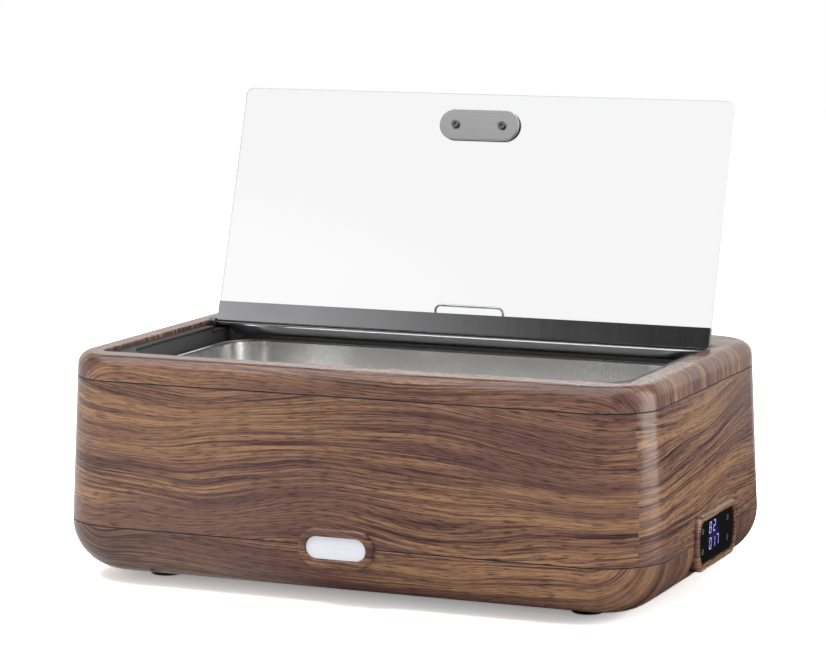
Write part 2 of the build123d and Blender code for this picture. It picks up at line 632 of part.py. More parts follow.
# Rim: the upper shell, with the opening, its ledge, the nose behind the hinge and the rear deck
with BuildPart() as rim_outside:
    loft(
        [
            housing_outline(UPPER_SEAM, SEAM_CHAMFER),
            housing_outline(UPPER_SEAM + SEAM_CHAMFER),
            housing_outline(RIM_TOP),
        ],
        ruled=True,
    )
    fillet(rim_outside.faces().sort_by(Axis.Z)[-1].edges(), RIM_EDGE)

with BuildPart() as rim_cavity:
    loft([housing_outline(UPPER_SEAM, WALL), housing_outline(RIM_TOP - WALL, WALL)], ruled=True)
    fillet(rim_cavity.faces().sort_by(Axis.Z)[-1].edges(), RIM_EDGE - WALL)
    extrude(opening_outline(LEDGE_TOP - WALL, WALL), amount=RIM_HEIGHT, mode=Mode.SUBTRACT)
    with BuildSketch(Plane((0.0, (STEP_START - WALL + OPENING_REAR + WALL) / 2, BATH_FLANGE_TOP))):
        Rectangle(2 * (OPENING_RIGHT + WALL), OPENING_REAR - STEP_START + 2 * WALL)
    extrude(amount=RIM_HEIGHT, mode=Mode.SUBTRACT)
    with BuildSketch(Plane.XY.offset(BLOCK_SEAT_BOTTOM)):
        for side in (-1, 1):
            seat_inner = BATH_RIGHT + BATH_SHEET + BATH_FLANGE + BLOCK_SEAT_GAP
            seat_outer = BLOCK_OUTER + WALL
            with Locations((side * (seat_inner + seat_outer) / 2, HINGE_Y + (BLOCK_BACK - BLOCK_FRONT) / 2)):
                Rectangle(seat_outer - seat_inner, BLOCK_FRONT + BLOCK_BACK + 2 * WALL)
    extrude(amount=RIM_HEIGHT, mode=Mode.SUBTRACT)
    extrude(discs(COLUMNS, COLUMN_RADIUS, UPPER_SEAM), amount=RIM_HEIGHT, mode=Mode.SUBTRACT)
    extrude(discs(BATH_SCREWS, BATH_BOSS_RADIUS, BATH_FLANGE_TOP), amount=RIM_HEIGHT, mode=Mode.SUBTRACT)

with BuildPart() as top_rim:
    add(rim_outside.part)
    add(rim_cavity.part, mode=Mode.SUBTRACT)
    extrude(opening_outline(LEDGE_TOP), amount=LEDGE_DROP, mode=Mode.SUBTRACT)
    deck = top_rim.faces().filter_by(Plane.XY).group_by(Axis.Z)[-1].sort_by(SortBy.AREA)[-1]
    fillet(deck.inner_wires()[0].edges(), OPENING_EDGE)
    extrude(bath_outline(UPPER_SEAM), amount=LEDGE_TOP - UPPER_SEAM, mode=Mode.SUBTRACT)
    with BuildSketch(Plane((0.0, (STEP_START + OPENING_REAR) / 2, STEP_TOP))):
        Rectangle(2 * OPENING_RIGHT, STEP_LENGTH)
    extrude(amount=LEDGE_TOP - STEP_TOP, mode=Mode.SUBTRACT)
    with BuildSketch(Plane.YZ):
        with BuildLine():
            Polyline(
                (OPENING_REAR + WALL, COVER_TOP - COVER_SHEET),
                cover_apex(COVER_SHEET),
                cover_foot(COVER_SHEET),
                (OPENING_REAR + WALL, cover_foot(COVER_SHEET)[1]),
                close=True,
            )
        make_face()
    extrude(amount=OPENING_RIGHT, both=True)
    with BuildSketch(Plane.YZ):
        with BuildLine():
            Polyline(
                cover_apex(COVER_SHEET),
                cover_foot(COVER_SHEET),
                cover_foot(-COVER_SLOT_GAP),
                cover_apex(-COVER_SLOT_GAP),
                close=True,
            )
        make_face()
    extrude(amount=BLOCK_INNER, both=True, mode=Mode.SUBTRACT)
    add(bath_space.part, mode=Mode.SUBTRACT)
    with BuildSketch(Plane((0.0, HINGE_Y + (BLOCK_BACK - BLOCK_FRONT) / 2, BLOCK_BOTTOM))):
        for side in (-1, 1):
            with Locations((side * (BLOCK_INNER + BLOCK_OUTER) / 2, 0.0)):
                Rectangle(
                    BLOCK_THICKNESS + 2 * BLOCK_POCKET_GAP, BLOCK_FRONT + BLOCK_BACK + 2 * BLOCK_POCKET_GAP
                )
    extrude(amount=BLOCK_HEIGHT, mode=Mode.SUBTRACT)
    extrude(
        discs(BLOCK_SCREWS, BLOCK_SCREW_RADIUS + THREAD_FIT, BLOCK_BOTTOM),
        amount=-(BLOCK_SEAT_DEPTH - WALL),
        mode=Mode.SUBTRACT,
    )
    with BuildSketch(Plane((0.0, TRAY_Y, RIM_TOP - WALL))):
        RectangleRounded(
            TRAY_LENGTH + 2 * TRAY_SLOT_GAP, TRAY_WIDTH + 2 * TRAY_SLOT_GAP, TRAY_CORNER + TRAY_SLOT_GAP
        )
    extrude(amount=WALL, mode=Mode.SUBTRACT)
    extrude(
        discs(COLUMNS, BOLT_RADIUS + THREAD_FIT, UPPER_SEAM),
        amount=RIM_HEIGHT - BOLT_TIP_DEPTH + BOLT_TIP_GAP,
        mode=Mode.SUBTRACT,
    )
    extrude(
        discs(BATH_SCREWS, BATH_SCREW_RADIUS + THREAD_FIT, BATH_FLANGE_TOP),
        amount=BATH_SCREW_LENGTH - BATH_SHEET,
        mode=Mode.SUBTRACT,
    )
    extrude(
        discs(COVER_SCREWS, COVER_SCREW_RADIUS + THREAD_FIT, COVER_TOP - COVER_SHEET),
        amount=-(COVER_SCREW_LENGTH - COVER_SHEET),
        mode=Mode.SUBTRACT,
    )

# Feet and the screws that hold the housing together from below
with BuildPart() as feet:
    for x, y in FEET:
        with BuildSketch(Plane((x, y, FOOT_HEIGHT))):
            Circle(FOOT_RADIUS + FOOT_TAPER)
        extrude(amount=-FOOT_HEIGHT, taper=FOOT_TAPER_ANGLE)
    chamfer(feet.faces().group_by(Axis.Z)[0].edges(), FOOT_EDGE)
    extrude(discs(FEET, FOOT_SCREW_HEAD + FOOT_SCREW_GAP, 0.0), amount=FOOT_SCREW_RECESS, mode=Mode.SUBTRACT)
    extrude(discs(FEET, FOOT_SCREW_RADIUS + BOLT_CLEARANCE, 0.0), amount=FOOT_HEIGHT, mode=Mode.SUBTRACT)

with BuildPart() as foot_screws:
    extrude(discs(FEET, FOOT_SCREW_HEAD, FOOT_SCREW_RECESS), amount=-FOOT_SCREW_HEAD_HEIGHT)
    extrude(discs(FEET, FOOT_SCREW_RADIUS, FOOT_SCREW_RECESS), amount=FOOT_SCREW_LENGTH)

with BuildPart() as tie_bolts:
    extrude(discs(COLUMNS, BOLT_HEAD_RADIUS, BOLT_SEAT), amount=-BOLT_HEAD_HEIGHT)
    fillet(tie_bolts.faces().group_by(Axis.Z)[0].edges(), BOLT_HEAD_EDGE)
    extrude(discs(COLUMNS, BOLT_RADIUS, BOLT_SEAT), amount=RIM_TOP - BOLT_TIP_DEPTH - BOLT_SEAT)

# Water bath: a deep-drawn well with a shelf for the food pan and an upper wall behind the ledge
with BuildPart() as well_outside:
    loft([well_outline(BATH_UNDERSIDE, BATH_SHEET), well_outline(BATH_SHELF, BATH_SHEET)], ruled=True)
    fillet(well_outside.faces().sort_by(Axis.Z)[0].edges(), BATH_WELL_EDGE + BATH_SHEET)

with BuildPart() as well_inside:
    loft([well_outline(BATH_FLOOR), well_outline(BATH_SHELF)], ruled=True)
    fillet(well_inside.faces().sort_by(Axis.Z)[0].edges(), BATH_WELL_EDGE)

with BuildPart() as water_bath:
    add(well_outside.part)
    extrude(
        bath_outline(BATH_SHELF - BATH_SHEET, BATH_SHEET),
        amount=LEDGE_TOP - WALL - BATH_TOP_GAP - BATH_SHELF + BATH_SHEET,
    )
    extrude(bath_outline(BATH_FLANGE_TOP - BATH_SHEET, BATH_SHEET + BATH_FLANGE), amount=BATH_SHEET)
    add(well_inside.part, mode=Mode.SUBTRACT)
    extrude(bath_outline(BATH_SHELF), amount=LEDGE_TOP - BATH_SHELF, mode=Mode.SUBTRACT)
    with BuildSketch(Plane((0.0, STEP_START + DEPTH / 2, BATH_FLANGE_TOP))):
        Rectangle(LENGTH, DEPTH + 2 * (WALL + SEAT_GAP))
    extrude(amount=LEDGE_TOP - BATH_FLANGE_TOP, mode=Mode.SUBTRACT)
    extrude(
        discs(BATH_SCREWS, BATH_SCREW_RADIUS + BOLT_CLEARANCE, BATH_FLANGE_TOP),
        amount=-BATH_SHEET,
        mode=Mode.SUBTRACT,
    )

with BuildPart() as bath_screws:
    extrude(
        discs(BATH_SCREWS, BATH_SCREW_HEAD, BATH_FLANGE_TOP - BATH_SHEET), amount=-BATH_SCREW_HEAD_HEIGHT
    )
    extrude(discs(BATH_SCREWS, BATH_SCREW_RADIUS, BATH_FLANGE_TOP - BATH_SHEET), amount=BATH_SCREW_LENGTH)

# Food pan: a drawn pan with a flat flange and a rolled edge that stands on the bath's shelf
with BuildPart() as pan_outside:
    loft(
        [pan_outline(PAN_BOTTOM, PAN_FLANGE + PAN_DRAFT), pan_outline(PAN_FLANGE_TOP, PAN_FLANGE)],
        ruled=True,
    )
    fillet(pan_outside.faces().sort_by(Axis.Z)[0].edges(), PAN_EDGE)

with BuildPart() as pan_inside:
    loft(
        [
            pan_outline(PAN_BOTTOM + PAN_SHEET, PAN_FLANGE + PAN_DRAFT + PAN_SHEET),
            pan_outline(PAN_FLANGE_TOP, PAN_FLANGE + PAN_SHEET),
        ],
        ruled=True,
    )
    fillet(pan_inside.faces().sort_by(Axis.Z)[0].edges(), PAN_EDGE - PAN_SHEET)

with BuildPart() as pan_bead:
    extrude(pan_outline(PAN_TOP - PAN_BEAD, 0.0), amount=PAN_BEAD)
    extrude(pan_outline(PAN_TOP - PAN_BEAD, PAN_BEAD), amount=PAN_BEAD, mode=Mode.SUBTRACT)
    fillet(pan_bead.edges().filter_by(Plane.XY), PAN_BEAD_ROUND)

with BuildPart() as food_pan:
    add(pan_outside.part)
    extrude(pan_outline(PAN_FLANGE_TOP - PAN_SHEET, PAN_BEAD / 2), amount=PAN_SHEET)
    add(pan_bead.part)
    add(pan_inside.part, mode=Mode.SUBTRACT)

# Hinge: a rod in two end blocks, and a bent cover over the nose of the deck behind it
with BuildPart() as hinge_block_right:
    with BuildSketch(
        Plane((BLOCK_INNER, HINGE_Y, BLOCK_BOTTOM), x_dir=(0.0, 1.0, 0.0), z_dir=(1.0, 0.0, 0.0))
    ) as block_profile:
        with BuildLine():
            Polyline(
                (-BLOCK_FRONT, 0.0),
                (BLOCK_BACK, 0.0),
                (BLOCK_BACK, BLOCK_HEIGHT),
                (-BLOCK_FRONT, BLOCK_HEIGHT),
                close=True,
            )
        make_face()
        fillet(block_profile.vertices().group_by(Axis.Y)[-1].sort_by(Axis.X)[0], BLOCK_FRONT / 2)
    extrude(amount=BLOCK_THICKNESS)
    with BuildSketch(Plane((BLOCK_INNER, HINGE_Y, HINGE_Z), x_dir=(0.0, 1.0, 0.0), z_dir=(1.0, 0.0, 0.0))):
        Circle(ROD_RADIUS + ROD_SEAT_FIT)
    extrude(amount=ROD_SEAT_DEPTH, mode=Mode.SUBTRACT)
    extrude(
        discs(BLOCK_SCREWS, BLOCK_SCREW_RADIUS + BOLT_CLEARANCE, BLOCK_BOTTOM),
        amount=BLOCK_HEIGHT,
        mode=Mode.SUBTRACT,
    )
    extrude(
        discs(BLOCK_SCREWS, BLOCK_SCREW_HEAD + BLOCK_POCKET_GAP, RIM_TOP - BLOCK_SCREW_RADIUS),
        amount=BLOCK_SCREW_RADIUS,
        mode=Mode.SUBTRACT,
    )

with BuildPart() as hinge_block_left:
    mirror(hinge_block_right.part, about=Plane.YZ)

with BuildPart() as block_screws:
    extrude(discs(BLOCK_SCREWS, BLOCK_SCREW_HEAD, RIM_TOP), amount=-BLOCK_SCREW_RADIUS)
    extrude(discs(BLOCK_SCREWS, BLOCK_SCREW_RADIUS, RIM_TOP), amount=-BLOCK_SCREW_LENGTH)

with BuildPart() as hinge_rod:
    with BuildSketch(LID_SECTION):
        Circle(ROD_RADIUS)
    extrude(amount=BLOCK_INNER + ROD_SEAT_DEPTH - SEAT_GAP, both=True)
    chamfer(hinge_rod.edges(), ROD_CHAMFER)

with BuildPart() as hinge_cover:
    with BuildSketch(Plane.YZ) as cover_profile:
        with BuildLine():
            Polyline(
                (OPENING_REAR - COVER_BACK_GAP, COVER_TOP),
                cover_apex(0.0),
                cover_foot(0.0),
                cover_foot(COVER_SHEET),
                cover_apex(COVER_SHEET),
                (OPENING_REAR - COVER_BACK_GAP, COVER_TOP - COVER_SHEET),
                close=True,
            )
        make_face()
        fillet(cover_profile.vertices().sort_by(Axis.X)[0], COVER_BEND)
    extrude(amount=LID_HALF_LENGTH, both=True)
    with BuildSketch(Plane.XY.offset(BATH_FLANGE_TOP)):
        Rectangle(2 * LENGTH, 2 * DEPTH)
        add(bath_outline(0.0, -SEAT_GAP), mode=Mode.SUBTRACT)
    extrude(amount=-RIM_HEIGHT, mode=Mode.SUBTRACT)
    extrude(
        discs(COVER_SCREWS, COVER_SCREW_RADIUS + COVER_SLOT_GAP, COVER_TOP),
        amount=-COVER_SHEET,
        mode=Mode.SUBTRACT,
    )

with BuildPart() as cover_screws:
    extrude(discs(COVER_SCREWS, COVER_SCREW_HEAD, COVER_TOP), amount=COVER_SCREW_HEAD_HEIGHT)
    fillet(cover_screws.faces().group_by(Axis.Z)[-1].edges(), COVER_SCREW_EDGE)
    extrude(discs(COVER_SCREWS, COVER_SCREW_RADIUS, COVER_TOP), amount=-COVER_SCREW_LENGTH)

# Lid: a glass sheet held along its back edge in a folded rail that is rolled round the hinge rod
with BuildPart() as lid_rail:
    with BuildSketch(LID_SECTION):
        Circle(BARREL_RADIUS)
        with Locations((RAIL_WIDTH / 2, RAIL_SHEET / 2)):
            Rectangle(RAIL_WIDTH, RAIL_SHEET)
        with Locations(((RAIL_HEEL + RAIL_WIDTH) / 2, -GLASS - RAIL_SHEET / 2)):
            Rectangle(RAIL_WIDTH - RAIL_HEEL, RAIL_SHEET)
        with Locations((RAIL_HEEL + RAIL_SHEET / 2, -RAIL_BACK / 2)):
            Rectangle(RAIL_SHEET, RAIL_BACK)
        Circle(ROD_RADIUS + ROD_FIT, mode=Mode.SUBTRACT)
    extrude(amount=LID_HALF_LENGTH, both=True)

with BuildPart() as glass_lid:
    with BuildSketch(LID_FACE):
        with Locations((0.0, (GLASS_SETBACK + GLASS_REACH) / 2)):
            Rectangle(2 * LID_HALF_LENGTH, GLASS_REACH - GLASS_SETBACK)
    extrude(amount=-GLASS)
    fillet(glass_lid.edges().filter_by(Axis(LID_FACE.origin, LID_TOWARD)).sort_by(Axis.Z)[-2:], GLASS_CORNER)
    with BuildSketch(LID_FACE):
        with Locations(*HANDLE_SCREWS):
            Circle(HANDLE_BUSH_RADIUS + HANDLE_BUSH_GAP)
    extrude(amount=-GLASS, mode=Mode.SUBTRACT)

with BuildPart() as glass_bushes:
    with BuildSketch(LID_FACE):
        with Locations(*HANDLE_SCREWS):
            Circle(HANDLE_BUSH_RADIUS)
            Circle(HANDLE_SCREW_RADIUS + HANDLE_BUSH_GAP, mode=Mode.SUBTRACT)
    extrude(amount=-GLASS)

with BuildPart() as handle_front_gasket:
    extrude(handle_outline(0.0), amount=HANDLE_GASKET)

with BuildPart() as handle_front_plate:
    extrude(handle_outline(HANDLE_GASKET), amount=HANDLE_PLATE)
    fillet(handle_front_plate.faces().sort_by(LID_NORMAL)[-1].outer_wire().edges(), HANDLE_EDGE)

with BuildPart() as handle_back_gasket:
    extrude(handle_outline(-GLASS), amount=-HANDLE_GASKET)

with BuildPart() as handle_back_plate:
    extrude(handle_outline(-GLASS - HANDLE_GASKET), amount=-HANDLE_PLATE)
    fillet(handle_back_plate.faces().sort_by(LID_NORMAL)[0].outer_wire().edges(), HANDLE_EDGE)

with BuildPart() as handle_grip:
    with BuildLine(GRIP_PLANE) as grip_path:
        FilletPolyline(
            (-HANDLE_SCREW_SPACING / 2, HANDLE_BACK),
            (-HANDLE_SCREW_SPACING / 2, HANDLE_BACK + GRIP_STANDOFF),
            (HANDLE_SCREW_SPACING / 2, HANDLE_BACK + GRIP_STANDOFF),
            (HANDLE_SCREW_SPACING / 2, HANDLE_BACK),
            radius=GRIP_BEND,
        )
    with BuildSketch(LID_FACE.offset(-HANDLE_BACK)):
        with Locations((-HANDLE_SCREW_SPACING / 2, HANDLE_REACH)):
            Circle(GRIP_RADIUS)
    sweep(path=grip_path.wire())
    with BuildSketch(LID_FACE.offset(-HANDLE_BACK)):
        with Locations(*HANDLE_SCREWS):
            Circle(HANDLE_SCREW_RADIUS + THREAD_FIT)
    extrude(amount=-GRIP_HOLE_DEPTH, mode=Mode.SUBTRACT)

with BuildPart() as handle_screws:
    with BuildSketch(LID_FACE.offset(HANDLE_GASKET + HANDLE_PLATE)):
        with Locations(*HANDLE_SCREWS):
            Circle(HANDLE_SCREW_HEAD)
    extrude(amount=HANDLE_SCREW_HEAD_HEIGHT)
    fillet(handle_screws.faces().sort_by(LID_NORMAL)[-2:].edges(), HANDLE_SCREW_EDGE)
    with BuildSketch(LID_FACE.offset(HANDLE_GASKET + HANDLE_PLATE)):
        with Locations(*HANDLE_SCREWS):
            Circle(HANDLE_SCREW_RADIUS)
    extrude(amount=-HANDLE_SCREW_LENGTH)
    with BuildSketch(LID_FACE.offset(HANDLE_GASKET + HANDLE_PLATE + HANDLE_SCREW_HEAD_HEIGHT)):
        with Locations(*HANDLE_SCREWS):
            RegularPolygon(HANDLE_SCREW_SOCKET / 2, 6)
    extrude(amount=-HANDLE_SOCKET_DEPTH, mode=Mode.SUBTRACT)

# Drip tray that lifts out of the deck by its wire bail
with BuildPart() as tray_inside:
    extrude(tray_outline(RIM_TOP + TRAY_SHEET, -TRAY_SHEET), amount=-TRAY_DEPTH)
    fillet(tray_inside.faces().sort_by(Axis.Z)[0].edges(), TRAY_EDGE - TRAY_SHEET)

with BuildPart() as drip_tray:
    extrude(tray_outline(RIM_TOP + TRAY_SHEET), amount=-TRAY_DEPTH - TRAY_SHEET)
    fillet(drip_tray.faces().sort_by(Axis.Z)[0].edges(), TRAY_EDGE)
    extrude(tray_outline(RIM_TOP + TRAY_LIFT_GAP, TRAY_FLANGE), amount=TRAY_SHEET - TRAY_LIFT_GAP)
    add(tray_inside.part, mode=Mode.SUBTRACT)

with BuildPart() as tray_bail:
    with BuildLine(BAIL_PLANE) as bail_path:
        FilletPolyline(
            (-BAIL_SPACING / 2 - BAIL_FOOT, 0.0),
            (-BAIL_SPACING / 2, 0.0),
            (-BAIL_SPACING / 2, BAIL_RISE),
            (BAIL_SPACING / 2, BAIL_RISE),
            (BAIL_SPACING / 2, 0.0),
            (BAIL_SPACING / 2 + BAIL_FOOT, 0.0),
            radius=BAIL_BEND,
        )
    with BuildSketch(Plane((-BAIL_SPACING / 2 - BAIL_FOOT, TRAY_Y, BAIL_Z), z_dir=(1.0, 0.0, 0.0))):
        Circle(BAIL_WIRE)
    sweep(path=bail_path.wire())

# Badge: a bare oval plate in a raised surround across the lower seam
with BuildPart() as badge_surround:
    with BuildSketch(BADGE_FACE):
        SlotOverall(BADGE_LENGTH + 2 * BADGE_BORDER, BADGE_HEIGHT + 2 * BADGE_BORDER)
    extrude(amount=-WALL - BADGE_PROUD - BADGE_EDGE)
    fillet(badge_surround.faces().sort_by(Axis.Y)[0].edges(), BADGE_EDGE)
    with BuildSketch(BADGE_FACE):
        SlotOverall(BADGE_LENGTH + 2 * BADGE_GAP, BADGE_HEIGHT + 2 * BADGE_GAP)
    extrude(amount=-BADGE_PROUD + BADGE_FLOOR, mode=Mode.SUBTRACT)
    fillet(badge_surround.faces().sort_by(Axis.Y)[0].inner_wires()[0].edges(), BADGE_INNER_EDGE)
    add(bowl_outside.part, mode=Mode.SUBTRACT)
    add(body_outside.part, mode=Mode.SUBTRACT)

with BuildPart() as badge_plate:
    with BuildSketch(BADGE_FACE.offset(BADGE_FLOOR - BADGE_PROUD)):
        SlotOverall(BADGE_LENGTH, BADGE_HEIGHT)
    extrude(amount=BADGE_PLATE)
    fillet(badge_plate.faces().sort_by(Axis.Y)[0].edges(), BADGE_PLATE_EDGE)

# Control panel on the right: a bezel whose tub reaches through the wall, and a touch glass in it
with BuildPart() as panel_bezel:
    extrude(panel_outline(PANEL_CREST, PANEL_BORDER), amount=-PANEL_BEZEL_DEPTH)
    fillet(panel_bezel.faces().sort_by(Axis.X)[-1].edges(), PANEL_EDGE)
    extrude(
        panel_outline(PANEL_GLASS_BACK, PANEL_GAP), amount=PANEL_CREST - PANEL_GLASS_BACK, mode=Mode.SUBTRACT
    )
    add(bowl_outside.part, mode=Mode.SUBTRACT)
    add(body_outside.part, mode=Mode.SUBTRACT)
    extrude(panel_rectangle(PANEL_TUB_END, PANEL_TUB_LENGTH, PANEL_TUB_HEIGHT), amount=PANEL_TUB_DEPTH)
    extrude(
        panel_rectangle(PANEL_TUB_END, PANEL_WINDOW_LENGTH, PANEL_WINDOW_HEIGHT),
        amount=PANEL_TUB_DEPTH,
        mode=Mode.SUBTRACT,
    )

with BuildPart() as display_glass:
    extrude(panel_outline(PANEL_GLASS_BACK), amount=PANEL_GLASS)
    fillet(display_glass.faces().sort_by(Axis.X)[-1].edges(), PANEL_GLASS_EDGE)

with BuildPart() as display_board:
    extrude(
        panel_rectangle(
            PANEL_BOARD_FACE, PANEL_WINDOW_LENGTH - 2 * PANEL_GAP, PANEL_WINDOW_HEIGHT - 2 * PANEL_GAP
        ),
        amount=-BOARD,
    )

with BuildPart() as digit_modules:
    with BuildSketch(DISPLAY_FACE):
        with GridLocations(DIGIT_LENGTH, DIGIT_PITCH, 1, 2):
            Rectangle(DIGIT_LENGTH, DIGIT_HEIGHT)
    extrude(amount=DIGIT_DEPTH)

with BuildPart() as touch_springs:
    with BuildSketch(DISPLAY_FACE):
        with GridLocations(2 * TOUCH_X, 2 * TOUCH_Z, 2, 2):
            Circle(TOUCH_SPRING_RADIUS)
            Circle(TOUCH_SPRING_RADIUS - TOUCH_SPRING_WIRE, mode=Mode.SUBTRACT)
    extrude(amount=DIGIT_DEPTH)

# Heater: a plate under the bath with a bent tubular element, hung on studs above a heat shield
with BuildPart() as heater_plate:
    with BuildSketch(Plane.XY.offset(HEATER_TOP)):
        RectangleRounded(HEATER_LENGTH, HEATER_WIDTH, HEATER_CORNER)
    extrude(amount=-HEATER_PLATE)
    extrude(
        discs(STUDS, STUD_RADIUS + STUD_CLEARANCE, HEATER_TOP), amount=-HEATER_PLATE, mode=Mode.SUBTRACT
    )

with BuildPart() as heating_element:
    with BuildLine() as element_path:
        FilletPolyline(
            (ELEMENT_TAIL_X, TAIL_Y, TAIL_END),
            (ELEMENT_TAIL_X, TAIL_Y, ELEMENT_Z),
            (ELEMENT_LENGTH / 2 - ELEMENT_BEND, TAIL_Y, ELEMENT_Z),
            (ELEMENT_LENGTH / 2 - ELEMENT_BEND, ELEMENT_WIDTH / 2, ELEMENT_Z),
            (-ELEMENT_LENGTH / 2, ELEMENT_WIDTH / 2, ELEMENT_Z),
            (-ELEMENT_LENGTH / 2, -ELEMENT_WIDTH / 2, ELEMENT_Z),
            (ELEMENT_LENGTH / 2 - ELEMENT_BEND, -ELEMENT_WIDTH / 2, ELEMENT_Z),
            (ELEMENT_LENGTH / 2 - ELEMENT_BEND, -TAIL_Y, ELEMENT_Z),
            (ELEMENT_TAIL_X, -TAIL_Y, ELEMENT_Z),
            (ELEMENT_TAIL_X, -TAIL_Y, TAIL_END),
            radius=ELEMENT_ROUND,
        )
    with BuildSketch(Plane((ELEMENT_TAIL_X, TAIL_Y, TAIL_END))):
        Circle(ELEMENT_RADIUS)
    sweep(path=element_path.wire())

with BuildPart() as heater_studs:
    extrude(discs(STUDS, STUD_RADIUS, HEATER_TOP), amount=STUD_END - HEATER_TOP)

with BuildPart() as heater_nuts:
    for level in (HEATER_UNDERSIDE, SHIELD_TOP - SHIELD_SHEET):
        with BuildSketch(Plane.XY.offset(level)):
            with Locations(*STUDS):
                RegularPolygon(NUT_WIDTH / 2, 6, major_radius=False)
                Circle(STUD_RADIUS + THREAD_FIT, mode=Mode.SUBTRACT)
        extrude(amount=-NUT_HEIGHT)

with BuildPart() as shield_spacers:
    with BuildSketch(Plane.XY.offset(SHIELD_TOP)):
        with Locations(*STUDS):
            Circle(SPACER_RADIUS)
            Circle(STUD_RADIUS + STUD_CLEARANCE, mode=Mode.SUBTRACT)
    extrude(amount=SPACER_LENGTH)

with BuildPart() as heat_shield:
    with BuildSketch(Plane.XY.offset(SHIELD_TOP)):
        RectangleRounded(SHIELD_LENGTH, HEATER_WIDTH + 2 * SHIELD_MARGIN, HEATER_CORNER)
        with Locations(*STUDS):
            Circle(STUD_RADIUS + STUD_CLEARANCE, mode=Mode.SUBTRACT)
    extrude(amount=-SHIELD_SHEET)

with BuildPart() as thermal_cutout:
    with BuildSketch(Plane.XY.offset(HEATER_UNDERSIDE)):
        Circle(CUTOUT_RADIUS)
    extrude(amount=-CUTOUT_FLANGE)
    with BuildSketch(Plane.XY.offset(HEATER_UNDERSIDE)):
        Circle(CUTOUT_CAP_RADIUS)
    extrude(amount=-CUTOUT_HEIGHT)

with BuildPart() as temperature_sensor:
    sensor_start = (SENSOR_X - SENSOR_LENGTH / 2, 0.0, HEATER_TOP - SENSOR_RADIUS)
    with BuildSketch(Plane(sensor_start, z_dir=(1.0, 0.0, 0.0))):
        Circle(SENSOR_RADIUS)
    extrude(amount=SENSOR_LENGTH)
    with BuildSketch(Plane((SENSOR_X, 0.0, HEATER_TOP))):
        Rectangle(SENSOR_CLIP_LENGTH, SENSOR_CLIP_WIDTH)
    extrude(amount=-SENSOR_CLIP_SHEET)

# Control board on standoffs in the bowl, with its large parts
with BuildPart() as control_board:
    with BuildSketch(Plane((CONTROL_X, 0.0, BOARD_UNDERSIDE))):
        RectangleRounded(CONTROL_LENGTH, CONTROL_WIDTH, CONTROL_CORNER)
    extrude(amount=BOARD)
    extrude(
        discs(STANDOFFS, BOARD_SCREW_RADIUS + BOLT_CLEARANCE, BOARD_UNDERSIDE),
        amount=BOARD,
        mode=Mode.SUBTRACT,
    )

with BuildPart() as board_screws:
    extrude(discs(STANDOFFS, BOARD_SCREW_HEAD, BOARD_TOP), amount=BOARD_SCREW_HEAD_HEIGHT)
    extrude(
        discs(STANDOFFS, BOARD_SCREW_RADIUS, BOARD_TOP), amount=BOARD_SCREW_TIP_GAP - BOARD_SCREW_LENGTH
    )

with BuildPart() as terminal_block:
    with BuildSketch(Plane((TERMINAL_X, 0.0, BOARD_TOP))):
        Rectangle(TERMINAL_WIDTH, TERMINAL_LENGTH)
    extrude(amount=TERMINAL_HEIGHT)
    with BuildSketch(Plane((TERMINAL_X + TERMINAL_WIDTH / 2, 0.0, BOARD_TOP + TERMINAL_HEIGHT))):
        with GridLocations(0.0, TERMINAL_LENGTH / 4, 1, 4):
            Rectangle(TERMINAL_WIDTH / 2, TERMINAL_LENGTH / 5)
    extrude(amount=-TERMINAL_HEIGHT / 3, mode=Mode.SUBTRACT)

with BuildPart() as transformer:
    with BuildSketch(Plane((CONTROL_X - CONTROL_LENGTH / 4, 0.0, BOARD_TOP))):
        Rectangle(TRANSFORMER_LENGTH, TRANSFORMER_WIDTH)
    extrude(amount=TRANSFORMER_HEIGHT)
    fillet(transformer.edges().filter_by(Axis.Z), TRANSFORMER_EDGE)
    with BuildSketch(Plane((CONTROL_X - CONTROL_LENGTH / 4, 0.0, BOARD_TOP + TRANSFORMER_HEIGHT / 3))):
        Rectangle(WINDING_LENGTH, WINDING_WIDTH)
    extrude(amount=TRANSFORMER_HEIGHT / 3)

with BuildPart() as mains_relay:
    with BuildSketch(Plane((CONTROL_X + CONTROL_LENGTH / 8, CONTROL_WIDTH / 5, BOARD_TOP))):
        Rectangle(RELAY_LENGTH, RELAY_WIDTH)
    extrude(amount=RELAY_HEIGHT)
    chamfer(mains_relay.faces().sort_by(Axis.Z)[-1].edges(), RELAY_EDGE)

with BuildPart() as capacitors:
    with BuildSketch(Plane((CONTROL_X + CONTROL_LENGTH / 8, -CONTROL_WIDTH / 5, BOARD_TOP))):
        with GridLocations(3 * CAPACITOR_RADIUS, 0.0, 2, 1):
            Circle(CAPACITOR_RADIUS)
    extrude(amount=CAPACITOR_HEIGHT)
    chamfer(capacitors.faces().group_by(Axis.Z)[-1].edges(), CAPACITOR_EDGE)

